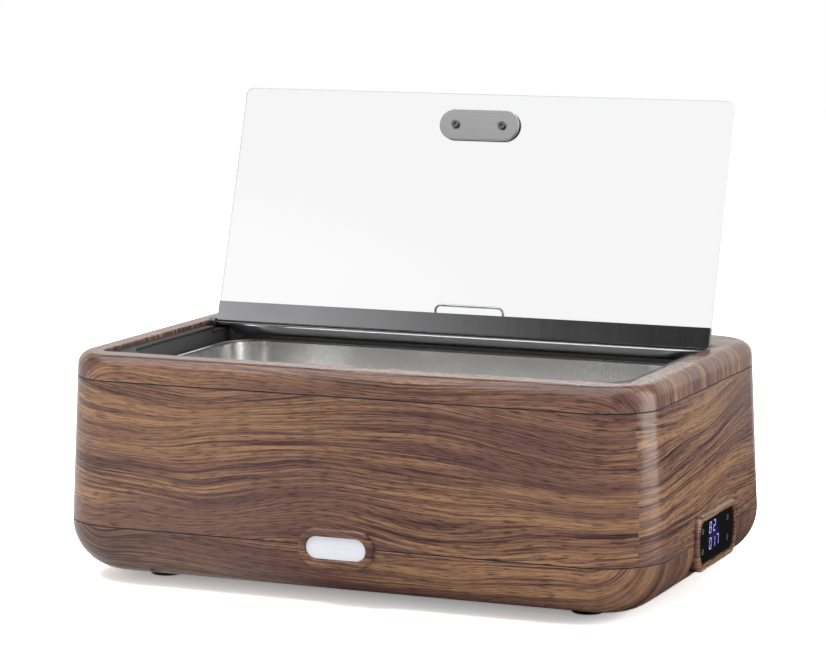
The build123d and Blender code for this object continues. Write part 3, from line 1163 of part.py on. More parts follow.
# Mains inlet in the back wall
with BuildPart() as power_inlet:
    with BuildSketch(INLET_PLANE):
        SlotOverall(INLET_FLANGE_LENGTH, INLET_FLANGE_HEIGHT)
        with Locations((-INLET_SCREW_SPACING / 2, 0.0), (INLET_SCREW_SPACING / 2, 0.0)):
            Circle(INLET_SCREW_RADIUS + INLET_GAP, mode=Mode.SUBTRACT)
    extrude(amount=INLET_FLANGE)
    with BuildSketch(INLET_PLANE):
        Rectangle(INLET_BODY_LENGTH, INLET_BODY_HEIGHT)
    extrude(amount=-INLET_BODY_DEPTH)
    with BuildSketch(INLET_PLANE.offset(INLET_FLANGE)) as socket:
        Rectangle(INLET_SOCKET_LENGTH, INLET_SOCKET_HEIGHT)
        chamfer(socket.vertices().group_by(Axis.Y)[-1], INLET_SOCKET_CHAMFER)
    extrude(amount=-INLET_SOCKET_DEPTH, mode=Mode.SUBTRACT)
    with BuildSketch(INLET_PLANE.offset(-INLET_BODY_DEPTH)):
        with Locations(*INLET_PINS):
            Rectangle(PIN_LENGTH + PIN_FIT, PIN_HEIGHT + PIN_FIT)
    extrude(amount=INLET_BODY_DEPTH, mode=Mode.SUBTRACT)

with BuildPart() as inlet_pins:
    with BuildSketch(INLET_PLANE.offset(INLET_FLANGE - INLET_SOCKET_DEPTH + PIN_REACH)):
        with Locations(*INLET_PINS):
            Rectangle(PIN_LENGTH, PIN_HEIGHT)
    extrude(amount=-(PIN_REACH + INLET_BODY_DEPTH + INLET_FLANGE - INLET_SOCKET_DEPTH + PIN_TAIL))

with BuildPart() as inlet_screws:
    with BuildSketch(INLET_PLANE.offset(INLET_FLANGE)):
        with Locations((-INLET_SCREW_SPACING / 2, 0.0), (INLET_SCREW_SPACING / 2, 0.0)):
            Circle(INLET_SCREW_HEAD)
    extrude(amount=INLET_SCREW_HEAD_HEIGHT)
    with BuildSketch(INLET_PLANE.offset(INLET_FLANGE)):
        with Locations((-INLET_SCREW_SPACING / 2, 0.0), (INLET_SCREW_SPACING / 2, 0.0)):
            Circle(INLET_SCREW_RADIUS)
    extrude(amount=-INLET_SCREW_LENGTH)

# Leads inside: mains to the board, board to heater, board to display
with BuildPart() as mains_lead:
    with BuildLine() as mains_path:
        FilletPolyline(
            (INLET_X, MAINS_LEAD_START, INLET_Z),
            (INLET_X, MAINS_LEAD_START - MAINS_LEAD_STRAIGHT, INLET_Z),
            (INLET_X, CONTROL_WIDTH / 2 + MAINS_LEAD_LANDING, BOARD_TOP + MAINS_LEAD_RADIUS),
            (INLET_X, CONTROL_WIDTH / 2 - MAINS_LEAD_OVERLAP, BOARD_TOP + MAINS_LEAD_RADIUS),
            radius=MAINS_LEAD_BEND,
        )
    with BuildSketch(Plane((INLET_X, MAINS_LEAD_START, INLET_Z), z_dir=(0.0, -1.0, 0.0))):
        Circle(MAINS_LEAD_RADIUS)
    sweep(path=mains_path.wire())

with BuildPart() as heater_leads:
    for side in (-1, 1):
        with BuildLine() as lead_path:
            FilletPolyline(
                (TERMINAL_X, side * TAIL_Y, BOARD_TOP + TERMINAL_HEIGHT),
                (TERMINAL_X, side * TAIL_Y, BOARD_TOP + TERMINAL_HEIGHT + HEATER_LEAD_STRAIGHT),
                (ELEMENT_TAIL_X, side * TAIL_Y, TAIL_END - HEATER_LEAD_STRAIGHT),
                (ELEMENT_TAIL_X, side * TAIL_Y, TAIL_END),
                radius=HEATER_LEAD_BEND,
            )
        with BuildSketch(Plane((TERMINAL_X, side * TAIL_Y, BOARD_TOP + TERMINAL_HEIGHT))):
            Circle(HEATER_LEAD_RADIUS)
        sweep(path=lead_path.wire())

with BuildPart() as display_ribbon:
    with BuildLine() as ribbon_path:
        FilletPolyline(
            (RIBBON_START, 0.0, BOARD_TOP),
            (RIBBON_START, 0.0, BOARD_TOP + RIBBON_RISE),
            (RIBBON_START + RIBBON_STRAIGHT, 0.0, BOARD_TOP + RIBBON_RISE),
            (RIBBON_END - RIBBON_STRAIGHT, 0.0, FITTINGS_Z),
            (RIBBON_END, 0.0, FITTINGS_Z),
            radius=RIBBON_BEND,
        )
    with BuildSketch(Plane((RIBBON_START, 0.0, BOARD_TOP))):
        Rectangle(RIBBON_THICKNESS, RIBBON_WIDTH)
    sweep(path=ribbon_path.wire())

PIECES = {
    "base_bowl": base_bowl.part,
    "body_shell": body_shell.part,
    "top_rim": top_rim.part,
    "feet": feet.part,
    "foot_screws": foot_screws.part,
    "tie_bolts": tie_bolts.part,
    "water_bath": water_bath.part,
    "bath_screws": bath_screws.part,
    "food_pan": food_pan.part,
    "hinge_block_right": hinge_block_right.part,
    "hinge_block_left": hinge_block_left.part,
    "block_screws": block_screws.part,
    "hinge_rod": hinge_rod.part,
    "hinge_cover": hinge_cover.part,
    "cover_screws": cover_screws.part,
    "lid_rail": lid_rail.part,
    "glass_lid": glass_lid.part,
    "glass_bushes": glass_bushes.part,
    "handle_front_gasket": handle_front_gasket.part,
    "handle_front_plate": handle_front_plate.part,
    "handle_back_gasket": handle_back_gasket.part,
    "handle_back_plate": handle_back_plate.part,
    "handle_grip": handle_grip.part,
    "handle_screws": handle_screws.part,
    "drip_tray": drip_tray.part,
    "tray_bail": tray_bail.part,
    "badge_surround": badge_surround.part,
    "badge_plate": badge_plate.part,
    "panel_bezel": panel_bezel.part,
    "display_glass": display_glass.part,
    "display_board": display_board.part,
    "digit_modules": digit_modules.part,
    "touch_springs": touch_springs.part,
    "heater_plate": heater_plate.part,
    "heating_element": heating_element.part,
    "heater_studs": heater_studs.part,
    "heater_nuts": heater_nuts.part,
    "shield_spacers": shield_spacers.part,
    "heat_shield": heat_shield.part,
    "thermal_cutout": thermal_cutout.part,
    "temperature_sensor": temperature_sensor.part,
    "control_board": control_board.part,
    "board_screws": board_screws.part,
    "terminal_block": terminal_block.part,
    "transformer": transformer.part,
    "mains_relay": mains_relay.part,
    "capacitors": capacitors.part,
    "power_inlet": power_inlet.part,
    "inlet_pins": inlet_pins.part,
    "inlet_screws": inlet_screws.part,
    "mains_lead": mains_lead.part,
    "heater_leads": heater_leads.part,
    "display_ribbon": display_ribbon.part,
}

os.makedirs("parts", exist_ok=True)
for name, piece in PIECES.items():
    piece.label = name
    export_step(piece, f"parts/{name}.step")
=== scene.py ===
from math import pi, radians

import bpy
import numpy as np
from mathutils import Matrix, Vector


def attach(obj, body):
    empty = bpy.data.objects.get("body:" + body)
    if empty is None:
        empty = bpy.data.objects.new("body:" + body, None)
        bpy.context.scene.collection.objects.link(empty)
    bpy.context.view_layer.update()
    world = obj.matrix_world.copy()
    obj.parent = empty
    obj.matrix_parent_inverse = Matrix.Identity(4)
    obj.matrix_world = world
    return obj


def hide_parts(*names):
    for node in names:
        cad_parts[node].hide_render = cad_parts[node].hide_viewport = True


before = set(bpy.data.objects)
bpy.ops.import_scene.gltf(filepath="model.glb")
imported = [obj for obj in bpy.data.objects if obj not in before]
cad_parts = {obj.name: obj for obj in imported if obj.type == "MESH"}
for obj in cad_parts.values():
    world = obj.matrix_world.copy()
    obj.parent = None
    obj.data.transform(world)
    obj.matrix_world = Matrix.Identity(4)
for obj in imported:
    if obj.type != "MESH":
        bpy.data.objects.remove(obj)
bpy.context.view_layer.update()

# Camera: in front of the dish and to its right, a little above it, with a long lens, as the
# photograph was taken.
CAMERA_PLACE = (1.1982, -2.8654, 0.6699)
CAMERA_PITCH = radians(7.949)  # down
CAMERA_TURN = radians(22.788)  # about Z
LENS_MM = 141.75

bpy.context.scene.view_settings.view_transform = "Standard"
camera_data = bpy.data.cameras.new("camera")
camera_data.lens = LENS_MM
camera_data.sensor_width = 36.0
camera_data.clip_end = 50.0
camera = bpy.data.objects.new("camera", camera_data)
camera.location = CAMERA_PLACE
camera.rotation_euler = (pi / 2 - CAMERA_PITCH, 0.0, CAMERA_TURN)
bpy.context.scene.collection.objects.link(camera)
bpy.context.scene.camera = camera


# Studio: a white paper floor that runs out to a white background, three softboxes and an even fill.
# What gloss and metal mirror is a room of its own: white on the left up to half its height, black
# cloth on the right, a wide ceiling light, and a tall strip that draws a line down the corner.
FLOOR_SIZE = 12.0
FLOOR_COLOUR = "#ebebeb"
FLOOR_GAIN = 2.6  # by which the camera sees the floor's own light brighter
FLOOR_LIFT = 0.25  # white that the camera sees on the floor besides
FILL_STRENGTH = 0.5
ROOM_EDGE = 0.438  # sine of the elevation up to which the room is white
ROOM_EDGE_BLUR = 0.012
ROOM_DARK = 0.05
CLOTH_TURN = radians(25.0)  # left of the front, where the black cloth begins
CLOTH_BLUR = 0.05
SOFTBOXES = {
    # name: place, aim, width, height, watts
    "overhead": ((-0.9, -1.2, 2.9), (0.0, 0.0, 0.15), 1.6, 1.2, 60.0),
    "front": ((-0.6, -3.6, 1.0), (0.0, 0.0, 0.15), 2.0, 1.2, 20.0),
    "right": ((2.3, 0.1, 0.9), (0.0, 0.0, 0.15), 1.0, 1.0, 27.0),
    "ceiling": ((-0.4, -0.72, 2.2), (-0.4, -0.72, 0.0), 3.4, 3.4, 122.0),
    "strip": ((1.08, 0.12, 0.56), (0.28, -0.17, 0.56), 0.6, 1.10, 12.0),
}
MIRRORED_SOFTBOXES = ("ceiling", "strip")


def linear(hex_colour):
    """sRGB hex to linear: values up to 0.04045 are divided by 12.92, others take the 2.4 power."""
    srgb = np.array([int(hex_colour[i : i + 2], 16) for i in (1, 3, 5)]) / 255.0
    parts = np.where(srgb <= 0.04045, srgb / 12.92, ((srgb + 0.055) / 1.055) ** 2.4)
    return (*parts.tolist(), 1.0)


def add_node(tree, kind, inputs=None, **settings):
    """Adds one node; inputs gives a value, or another node's output, for each socket."""
    node = tree.nodes.new(kind)
    for name, value in settings.items():
        setattr(node, name, value)
    for socket, value in (inputs or {}).items():
        if isinstance(value, bpy.types.NodeSocket):
            tree.links.new(value, node.inputs[socket])
        else:
            node.inputs[socket].default_value = value
    return node


TO_WHITE_SIDE = (-np.cos(CLOTH_TURN), np.sin(CLOTH_TURN), 0.0)

world = bpy.data.worlds.new("studio")
bpy.context.scene.world = world
world.use_nodes = True
world.cycles.sampling_method = "NONE"  # only rays meet the room: it isn't a lamp
room = world.node_tree
room.nodes.clear()
rays = add_node(room, "ShaderNodeLightPath")
direction = add_node(room, "ShaderNodeTexCoord")
height = add_node(room, "ShaderNodeSeparateXYZ", {"Vector": direction.outputs["Generated"]})
wall = add_node(
    room,
    "ShaderNodeMapRange",
    {
        "Value": height.outputs["Z"],
        "From Min": ROOM_EDGE - ROOM_EDGE_BLUR,
        "From Max": ROOM_EDGE + ROOM_EDGE_BLUR,
        "To Min": 1.0,
        "To Max": ROOM_DARK,
    },
    interpolation_type="SMOOTHSTEP",
)
cloth_edge = add_node(
    room,
    "ShaderNodeVectorMath",
    {0: direction.outputs["Generated"], 1: TO_WHITE_SIDE},
    operation="DOT_PRODUCT",
)
white_share = add_node(
    room,
    "ShaderNodeMapRange",
    {"Value": cloth_edge.outputs["Value"], "From Min": -CLOTH_BLUR, "From Max": CLOTH_BLUR},
    interpolation_type="SMOOTHSTEP",
)
mirrored_room = add_node(
    room,
    "ShaderNodeMix",
    {"Factor": white_share.outputs["Result"], "A": ROOM_DARK, "B": wall.outputs["Result"]},
)
background_rays = add_node(
    room,
    "ShaderNodeMath",
    {0: rays.outputs["Is Camera Ray"], 1: rays.outputs["Is Transmission Ray"]},
    operation="MAXIMUM",
)
mirrored = add_node(
    room,
    "ShaderNodeMix",
    {
        "Factor": rays.outputs["Is Glossy Ray"],
        "A": FILL_STRENGTH,
        "B": mirrored_room.outputs["Result"],
    },
)
strength = add_node(
    room,
    "ShaderNodeMix",
    {"Factor": background_rays.outputs[0], "A": mirrored.outputs["Result"], "B": 1.0},
)
white = add_node(
    room,
    "ShaderNodeBackground",
    {"Color": (1.0, 1.0, 1.0, 1.0), "Strength": strength.outputs["Result"]},
)
add_node(room, "ShaderNodeOutputWorld", {"Surface": white.outputs[0]})

floor_mesh = bpy.data.meshes.new("floor")
floor_reach = FLOOR_SIZE / 2
floor_mesh.from_pydata(
    [
        (-floor_reach, -floor_reach, 0.0),
        (floor_reach, -floor_reach, 0.0),
        (floor_reach, floor_reach, 0.0),
        (-floor_reach, floor_reach, 0.0),
    ],
    [],
    [(0, 1, 2, 3)],
)
floor = bpy.data.objects.new("floor", floor_mesh)
bpy.context.scene.collection.objects.link(floor)

# White paper: matt, so it takes the shadow softly. The camera sees it as bright as the background,
# gloss mirrors the cloth where that lies on it, and through the glass it is plain white.
paper = bpy.data.materials.new("white_paper")
paper.use_nodes = True
paper.node_tree.nodes.clear()
paper.cycles.emission_sampling = "NONE"  # its glow is seen and lights nothing
tree = paper.node_tree
rays = add_node(tree, "ShaderNodeLightPath")
exposure = add_node(
    tree,
    "ShaderNodeMapRange",
    {"Value": rays.outputs["Is Camera Ray"], "To Min": 1.0, "To Max": FLOOR_GAIN},
)
cloth_edge = add_node(
    tree,
    "ShaderNodeVectorMath",
    {0: add_node(tree, "ShaderNodeTexCoord").outputs["Object"], 1: TO_WHITE_SIDE},
    operation="DOT_PRODUCT",
)
cloth = add_node(
    tree,
    "ShaderNodeMapRange",
    {
        "Value": cloth_edge.outputs["Value"],
        "From Min": -CLOTH_BLUR,
        "From Max": CLOTH_BLUR,
        "To Min": 1.0 - ROOM_DARK,
        "To Max": 0.0,
    },
)
covered = add_node(
    tree,
    "ShaderNodeMath",
    {0: rays.outputs["Is Glossy Ray"], 1: cloth.outputs["Result"]},
    operation="MULTIPLY",
)
bare_share = add_node(tree, "ShaderNodeMath", {0: 1.0, 1: covered.outputs[0]}, operation="SUBTRACT")
tone = add_node(
    tree,
    "ShaderNodeMath",
    {0: exposure.outputs["Result"], 1: bare_share.outputs[0]},
    operation="MULTIPLY",
)
paper_tone = add_node(
    tree,
    "ShaderNodeVectorMath",
    {0: linear(FLOOR_COLOUR)[:3], 3: tone.outputs[0]},
    operation="SCALE",
)
matt = add_node(tree, "ShaderNodeBsdfDiffuse", {"Color": paper_tone.outputs[0]})
seen = add_node(
    tree,
    "ShaderNodeMath",
    {0: rays.outputs["Is Camera Ray"], 1: rays.outputs["Is Glossy Ray"]},
    operation="MAXIMUM",
)
lift = add_node(tree, "ShaderNodeMath", {0: seen.outputs[0], 1: FLOOR_LIFT}, operation="MULTIPLY")
bare_lift = add_node(
    tree, "ShaderNodeMath", {0: lift.outputs[0], 1: bare_share.outputs[0]}, operation="MULTIPLY"
)
glow = add_node(tree, "ShaderNodeEmission", {"Strength": bare_lift.outputs[0]})
paper_light = add_node(tree, "ShaderNodeAddShader", {0: matt.outputs[0], 1: glow.outputs[0]})
plain_white = add_node(tree, "ShaderNodeEmission", {"Strength": 1.0})
paper_seen = add_node(
    tree,
    "ShaderNodeMixShader",
    {0: rays.outputs["Is Transmission Ray"], 1: paper_light.outputs[0], 2: plain_white.outputs[0]},
)
add_node(tree, "ShaderNodeOutputMaterial", {"Surface": paper_seen.outputs[0]})
floor_mesh.materials.append(paper)

for name, (place, aim, box_width, box_height, watts) in SOFTBOXES.items():
    lamp = bpy.data.lights.new(name, "AREA")
    lamp.shape = "RECTANGLE"
    lamp.size = box_width
    lamp.size_y = box_height
    lamp.energy = watts
    softbox = bpy.data.objects.new(name, lamp)
    softbox.location = place
    softbox.rotation_euler = (Vector(aim) - Vector(place)).to_track_quat("-Z", "Y").to_euler()
    softbox.visible_camera = False
    softbox.visible_glossy = name in MIRRORED_SOFTBOXES
    softbox.visible_diffuse = name not in MIRRORED_SOFTBOXES
    bpy.context.scene.collection.objects.link(softbox)


# Housing: three moulded ABS shells, bowl, body and rim, dressed in a walnut-print film. The body's
# film is wrapped round it, with a butt seam at the front right corner. The bowl's and the rim's are
# draped over them from below and from above, so their grain runs on over the ends.
HALF_LENGTH = 0.300
HALF_DEPTH = 0.195
LOWER_SEAM = 0.0585
UPPER_SEAM = 0.1965
RIM_TOP = 0.220
LEDGE_TOP = 0.216
LOWER_CORNER = 0.065
UPPER_CORNER = 0.054
BODY_LEAN = 0.0075
RIM_LEAN = 0.0088
RIM_CORNER = 0.0525
RIM_EDGE = 0.013
BOWL_EDGE = 0.0485
BOWL_BOTTOM = 0.009
SHELL_WALL = 0.0025
SEAM_SHADE_TILT = 0.25  # of a normal, past which eased seam edges stay bare black: painted shade in the seams
DRAPED_OUTWARD = 0.3  # how far a normal points outwards on a face that the drape covers
WRAPPED_OUTWARD = 0.02  # the same on a face that the wrapped sheet covers
RIM_LIP = 0.0002  # above the ledge, where the rim's film ends
RIM_UNDERSIDE = -0.5  # of a normal, below which a face of the rim is bare
PANEL_CREST = 0.2985  # along X, past which the panel's frame has film
SEAM_TURN = 0.56  # of the front right corner's quarter turn
REAR_SEAM = -0.55  # where the sheet past the seam ends again, on the way round
SIDE_SHEET_SLANT = radians(3.5)
SIDE_SHEET_SHIFT = (0.90, 1.312)  # metres to the place on the print that a sheet is cut from
BOWL_SHEET_SHIFT = (0.0, 0.62)
RIM_SHEET_SHIFT = (0.3, 1.9)
BADGE_SHEET_SHIFT = (0.0, 0.004)
PANEL_SHEET_SHIFT = (0.4, 0.95)
WALNUT_DARK = "#453130"
WALNUT_MID = "#7b5a4a"
WALNUT_LIGHT = "#a37c5c"
WALNUT_PURPLE = "#70504c"
WALNUT_PORE = "#2f211f"
SLOW_WAVES = (3.6, 10.5)  # along and across the grain, per metre
SLOW_WAVES_START = (0.37, 0.21)
SLOW_WAVES_DETAIL = 1.6
SLOW_WAVES_ROUGHNESS = 0.42
WAVE_REACH = 0.050  # metres that the slow waves move the grain by
BAND_SHARE = 0.44  # of the wood's tone that comes from the broad bands
LINE_SHARE = 0.56  # and from the fine lines
DARK_AT, MID_AT, LIGHT_AT = 0.385, 0.475, 0.590  # tones that take the three browns
PURPLE_PATCHES = (0.46, 0.66)  # of the hues, over which a patch turns to purple
PURPLE_MOST = 0.7  # share of purple in the middle of a patch
RINGS_PER_METRE = 420.0
RING_WANDER = 5.0  # rings that the bands move a growth line by
RING_STRENGTH = 0.50
LATE_WOOD = (0.35, 0.95)  # of a growth line's width, over which it darkens
RING_FADING = (0.35, 0.6)  # of the hues, over which the growth lines come out
FADED_RING = 0.25  # of their strength where they are faintest
PORES = (0.53, 0.68)  # of the pore layer, over which a pore darkens
PORE_STRENGTH = 0.70
FILM_LINES = (0.3, 0.7)  # of the fine lines, over which the film turns duller
FILM_ROUGHNESS = (0.20, 0.32)
FILM_RELIEF = 0.0004
FILM_RELIEF_STRENGTH = 0.10
WALNUT_LAYERS = {
    # name: waves along and across the grain per metre, detail, roughness, offset
    "bands": ((1.7, 62.0), 3.0, 0.62, (0.0, 0.0)),
    "lines": ((6.0, 420.0), 3.0, 0.72, (3.1, 7.7)),
    "pores": ((60.0, 1050.0), 1.5, 0.6, (5.3, 2.9)),
    "hues": ((2.2, 26.0), 1.5, 0.5, (8.9, 4.1)),
}
BOLT_PLACES = np.array([(0.276, 0.075), (0.200, 0.168)])  # of one quarter
BOLT_RECESS = 0.0060  # radius
BOLT_RECESS_FILM = 0.035  # height up to which the film has run into a recess


def merged_copy(node_name, name):
    """Copy of a CAD node's mesh, with its exact normals.

    Corners that are equal to a tenth of a micrometre become one vertex, and a triangle that loses
    a corner by that is left out.
    """
    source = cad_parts[node_name].data
    places = np.empty(len(source.vertices) * 3)
    source.vertices.foreach_get("co", places)
    corners = np.empty(len(source.loops), int)
    source.loops.foreach_get("vertex_index", corners)
    normals = np.empty(len(source.loops) * 3)
    source.corner_normals.foreach_get("vector", normals)
    shared, index = np.unique(places.reshape(-1, 3).round(7), axis=0, return_inverse=True)
    triangles = index.ravel()[corners].reshape(-1, 3)
    whole = (triangles != np.roll(triangles, 1, axis=1)).all(axis=1)
    triangles = triangles[whole]
    normals = normals.reshape(-1, 3, 3)[whole]
    mesh = bpy.data.meshes.new(name)
    mesh.from_pydata(shared.tolist(), [], triangles.tolist())
    mesh.polygons.foreach_set("use_smooth", np.ones(len(triangles), bool))
    mesh.normals_split_custom_set(normals.reshape(-1, 3).tolist())
    return mesh, shared[triangles], normals


def rounded_corner(places, half_length, half_depth, rounding):
    """Direction and distance of each place from the nearest point of the inner rectangle.

    The inner rectangle is the outline moved in by its corner radius; the direction points outwards.
    """
    flat = places[..., :2]
    reach = np.stack([half_length - rounding, half_depth - rounding], axis=-1)
    core = np.clip(flat, -reach, reach)
    offset = flat - core
    distance = np.linalg.norm(offset, axis=-1, keepdims=True)
    outward = np.divide(offset, distance, out=np.zeros_like(offset), where=distance > 1e-7)
    return core, outward, distance


def draped_sheet(places, sheet_z, down, edge, half_length, half_depth, rounding):
    """Film coordinates of a sheet laid on a flat face and folded down over the round at its edge.

    A point past the fold lies where the sheet would reach if it were flattened again: the fold's
    start plus the outward direction times the length along the round, edge times the angle turned,
    and then straight on down the side.
    """
    drop = np.clip((sheet_z - places[..., 2:3]) * down, 0.0, None)
    shape = places.shape[:-1]
    core, outward, distance = rounded_corner(
        places, np.full(shape, half_length), np.full(shape, half_depth), rounding
    )
    turned = np.arccos(1.0 - np.clip(drop / edge, 0.0, 1.0))
    length = edge * turned + np.clip(drop - edge, 0.0, None)
    start = rounding - edge
    return core + outward * np.where(distance > start, start + length, distance)


def draped_side(middles, normals, sheet_z, down, edge, half_length, half_depth, rounding):
    """Picks the outer faces of a draped shell: those that lie on the fold's round or beyond it.

    Distance from the round's centre line is the length of (distance past the fold's start, height
    over the centre); the outer side is where that is the round's radius, and faces away from it.
    """
    level = np.clip((middles[:, 2] - sheet_z) * down + edge, 0.0, None)
    _, outward, distance = rounded_corner(
        middles, np.full(len(middles), half_length), np.full(len(middles), half_depth), rounding
    )
    past = np.clip(distance[:, 0] - (rounding - edge), 0.0, None)
    facing = (normals[:, :2] * outward).sum(axis=1) + normals[:, 2] * down
    # Faces on the eased edge that turn toward the seam stay bare black ABS: painted shade in the
    # seam.
    seam_shade = (normals[:, 2] * down < -SEAM_SHADE_TILT) & (level < edge / 2)
    return (np.hypot(past, level) > edge - SHELL_WALL / 2) & (facing > DRAPED_OUTWARD) & ~seam_shade


def wrapped_sheet(places):
    """Film coordinates of a sheet wound round the body: length round the outline, and height.

    Counted from the middle of the front, on the mean outline, with a quarter turn at each corner;
    at the back each face counts on from the side that its middle lies on. The sheet past the seam at
    the front right corner, laid on at a slant, runs on over the back to the rear seam.
    """
    mean_corner = (LOWER_CORNER + UPPER_CORNER) / 2
    straight_x = HALF_LENGTH - BODY_LEAN / 2 - mean_corner
    straight_y = HALF_DEPTH - BODY_LEAN / 2 - mean_corner
    quarter = mean_corner * pi / 2
    half_round = 2 * (straight_x + straight_y + quarter)
    x, y = places[..., 0], places[..., 1]
    out_x = np.clip(np.abs(x) - straight_x, 0.0, None)
    out_y = np.clip(np.abs(y) - straight_y, 0.0, None)
    turn = np.arctan2(out_x, out_y) * mean_corner
    to_corner = np.clip(np.abs(x), 0.0, straight_x) + turn
    from_front = (to_corner + np.clip(y + straight_y, 0.0, 2 * straight_y)) * np.sign(x)
    side = np.where(x.mean(axis=1, keepdims=True) < 0.0, -1.0, 1.0)
    from_back = side * half_round - to_corner * np.sign(x)
    length = np.where(y > straight_y, from_back, from_front)
    past_rear = length.mean(axis=1, keepdims=True) < REAR_SEAM
    length = np.where(past_rear, length + 2 * half_round, length)
    sheet = np.stack([length, places[..., 2]], axis=-1)
    past = length.mean(axis=1) > straight_x + SEAM_TURN * quarter
    slant = np.array(
        [
            [np.cos(SIDE_SHEET_SLANT), -np.sin(SIDE_SHEET_SLANT)],
            [np.sin(SIDE_SHEET_SLANT), np.cos(SIDE_SHEET_SLANT)],
        ]
    )
    return np.where(past[:, None, None], sheet @ slant + SIDE_SHEET_SHIFT, sheet)


def body_side(middles, normals):
    """Picks the outer faces of the body: on its leaning outline, and facing out from the middle."""
    rise = np.clip((middles[:, 2] - LOWER_SEAM) / (UPPER_SEAM - LOWER_SEAM), 0.0, 1.0)
    rounding = LOWER_CORNER - (LOWER_CORNER - UPPER_CORNER) * rise
    _, outward, distance = rounded_corner(
        middles, HALF_LENGTH - BODY_LEAN * rise, HALF_DEPTH - BODY_LEAN * rise, rounding
    )
    facing = (normals[:, :2] * outward).sum(axis=1)
    # Upright faces only: the eased seam edges stay bare black ABS, as painted shade along the seams.
    upright = np.abs(normals[:, 2]) < SEAM_SHADE_TILT
    return (distance[:, 0] > rounding - SHELL_WALL / 2) & (facing > WRAPPED_OUTWARD) & upright


# Walnut printed on film: a satin brown with a purple cast. Slow noise moves the height across the
# grain, which bends it into waves and now and then a cathedral. Every layer reads the moved height:
# broad bands, growth lines 2.4 mm apart, short dark pores, and patches that lean to purple. The
# pores are 1 mm wide, because real ones are too fine to show.
walnut = bpy.data.materials.new("walnut_print")
walnut.use_nodes = True
tree = walnut.node_tree
shader = tree.nodes["Principled BSDF"]
film = add_node(tree, "ShaderNodeUVMap", uv_map="film")
slow = add_node(
    tree,
    "ShaderNodeMapping",
    {
        "Vector": film.outputs[0],
        "Scale": (*SLOW_WAVES, 1.0),
        "Location": (*SLOW_WAVES_START, 0.0),
    },
)
waves = add_node(
    tree,
    "ShaderNodeTexNoise",
    {
        "Vector": slow.outputs[0],
        "Scale": 1.0,
        "Detail": SLOW_WAVES_DETAIL,
        "Roughness": SLOW_WAVES_ROUGHNESS,
    },
    noise_dimensions="2D",
)
bend = add_node(tree, "ShaderNodeMath", {0: waves.outputs["Fac"], 1: 0.5}, operation="SUBTRACT")
parts = add_node(tree, "ShaderNodeSeparateXYZ", {"Vector": film.outputs[0]})
across = add_node(
    tree,
    "ShaderNodeMath",
    {0: bend.outputs[0], 1: WAVE_REACH, 2: parts.outputs["Y"]},
    operation="MULTIPLY_ADD",
)
grain = add_node(
    tree, "ShaderNodeCombineXYZ", {"X": parts.outputs["X"], "Y": across.outputs[0], "Z": 0.0}
)
layers = {}
for name, (waves_per_metre, detail, break_up, offset) in WALNUT_LAYERS.items():
    stretched = add_node(
        tree,
        "ShaderNodeMapping",
        {"Vector": grain.outputs[0], "Scale": (*waves_per_metre, 1.0), "Location": (*offset, 0.0)},
    )
    layers[name] = add_node(
        tree,
        "ShaderNodeTexNoise",
        {"Vector": stretched.outputs[0], "Scale": 1.0, "Detail": detail, "Roughness": break_up},
        noise_dimensions="2D",
    ).outputs["Fac"]
broad = add_node(
    tree, "ShaderNodeMath", {0: layers["bands"], 1: BAND_SHARE}, operation="MULTIPLY"
)
wood_tone = add_node(
    tree,
    "ShaderNodeMath",
    {0: layers["lines"], 1: LINE_SHARE, 2: broad.outputs[0]},
    operation="MULTIPLY_ADD",
)
ramp = add_node(tree, "ShaderNodeValToRGB", {"Fac": wood_tone.outputs[0]})
ramp.color_ramp.elements[0].position = DARK_AT
ramp.color_ramp.elements[0].color = linear(WALNUT_DARK)
ramp.color_ramp.elements[1].position = LIGHT_AT
ramp.color_ramp.elements[1].color = linear(WALNUT_LIGHT)
ramp.color_ramp.elements.new(MID_AT).color = linear(WALNUT_MID)
purple_share = add_node(
    tree,
    "ShaderNodeMapRange",
    {
        "Value": layers["hues"],
        "From Min": PURPLE_PATCHES[0],
        "From Max": PURPLE_PATCHES[1],
        "To Max": PURPLE_MOST,
    },
)
purple = add_node(
    tree,
    "ShaderNodeMix",
    {"Factor": purple_share.outputs["Result"], 6: ramp.outputs["Color"], 7: linear(WALNUT_PURPLE)},
    data_type="RGBA",
)
rings_across = add_node(
    tree, "ShaderNodeMath", {0: across.outputs[0], 1: RINGS_PER_METRE}, operation="MULTIPLY"
)
phase = add_node(
    tree,
    "ShaderNodeMath",
    {0: layers["bands"], 1: RING_WANDER, 2: rings_across.outputs[0]},
    operation="MULTIPLY_ADD",
)
growth = add_node(
    tree, "ShaderNodeMath", {0: phase.outputs[0], 1: 1.0}, operation="FLOORED_MODULO"
)
late_wood = add_node(
    tree,
    "ShaderNodeMapRange",
    {"Value": growth.outputs[0], "From Min": LATE_WOOD[0], "From Max": LATE_WOOD[1]},
)
fading = add_node(
    tree,
    "ShaderNodeMapRange",
    {
        "Value": layers["hues"],
        "From Min": RING_FADING[0],
        "From Max": RING_FADING[1],
        "To Min": FADED_RING,
    },
)
ring_shade = add_node(
    tree,
    "ShaderNodeMath",
    {0: late_wood.outputs["Result"], 1: fading.outputs["Result"]},
    operation="MULTIPLY",
)
ring_share = add_node(
    tree, "ShaderNodeMath", {0: ring_shade.outputs[0], 1: RING_STRENGTH}, operation="MULTIPLY"
)
ringed = add_node(
    tree,
    "ShaderNodeMix",
    {"Factor": ring_share.outputs[0], 6: purple.outputs[2], 7: linear(WALNUT_DARK)},
    data_type="RGBA",
)
pore_share = add_node(
    tree,
    "ShaderNodeMapRange",
    {
        "Value": layers["pores"],
        "From Min": PORES[0],
        "From Max": PORES[1],
        "To Max": PORE_STRENGTH,
    },
)
printed = add_node(
    tree,
    "ShaderNodeMix",
    {"Factor": pore_share.outputs["Result"], 6: ringed.outputs[2], 7: linear(WALNUT_PORE)},
    data_type="RGBA",
)
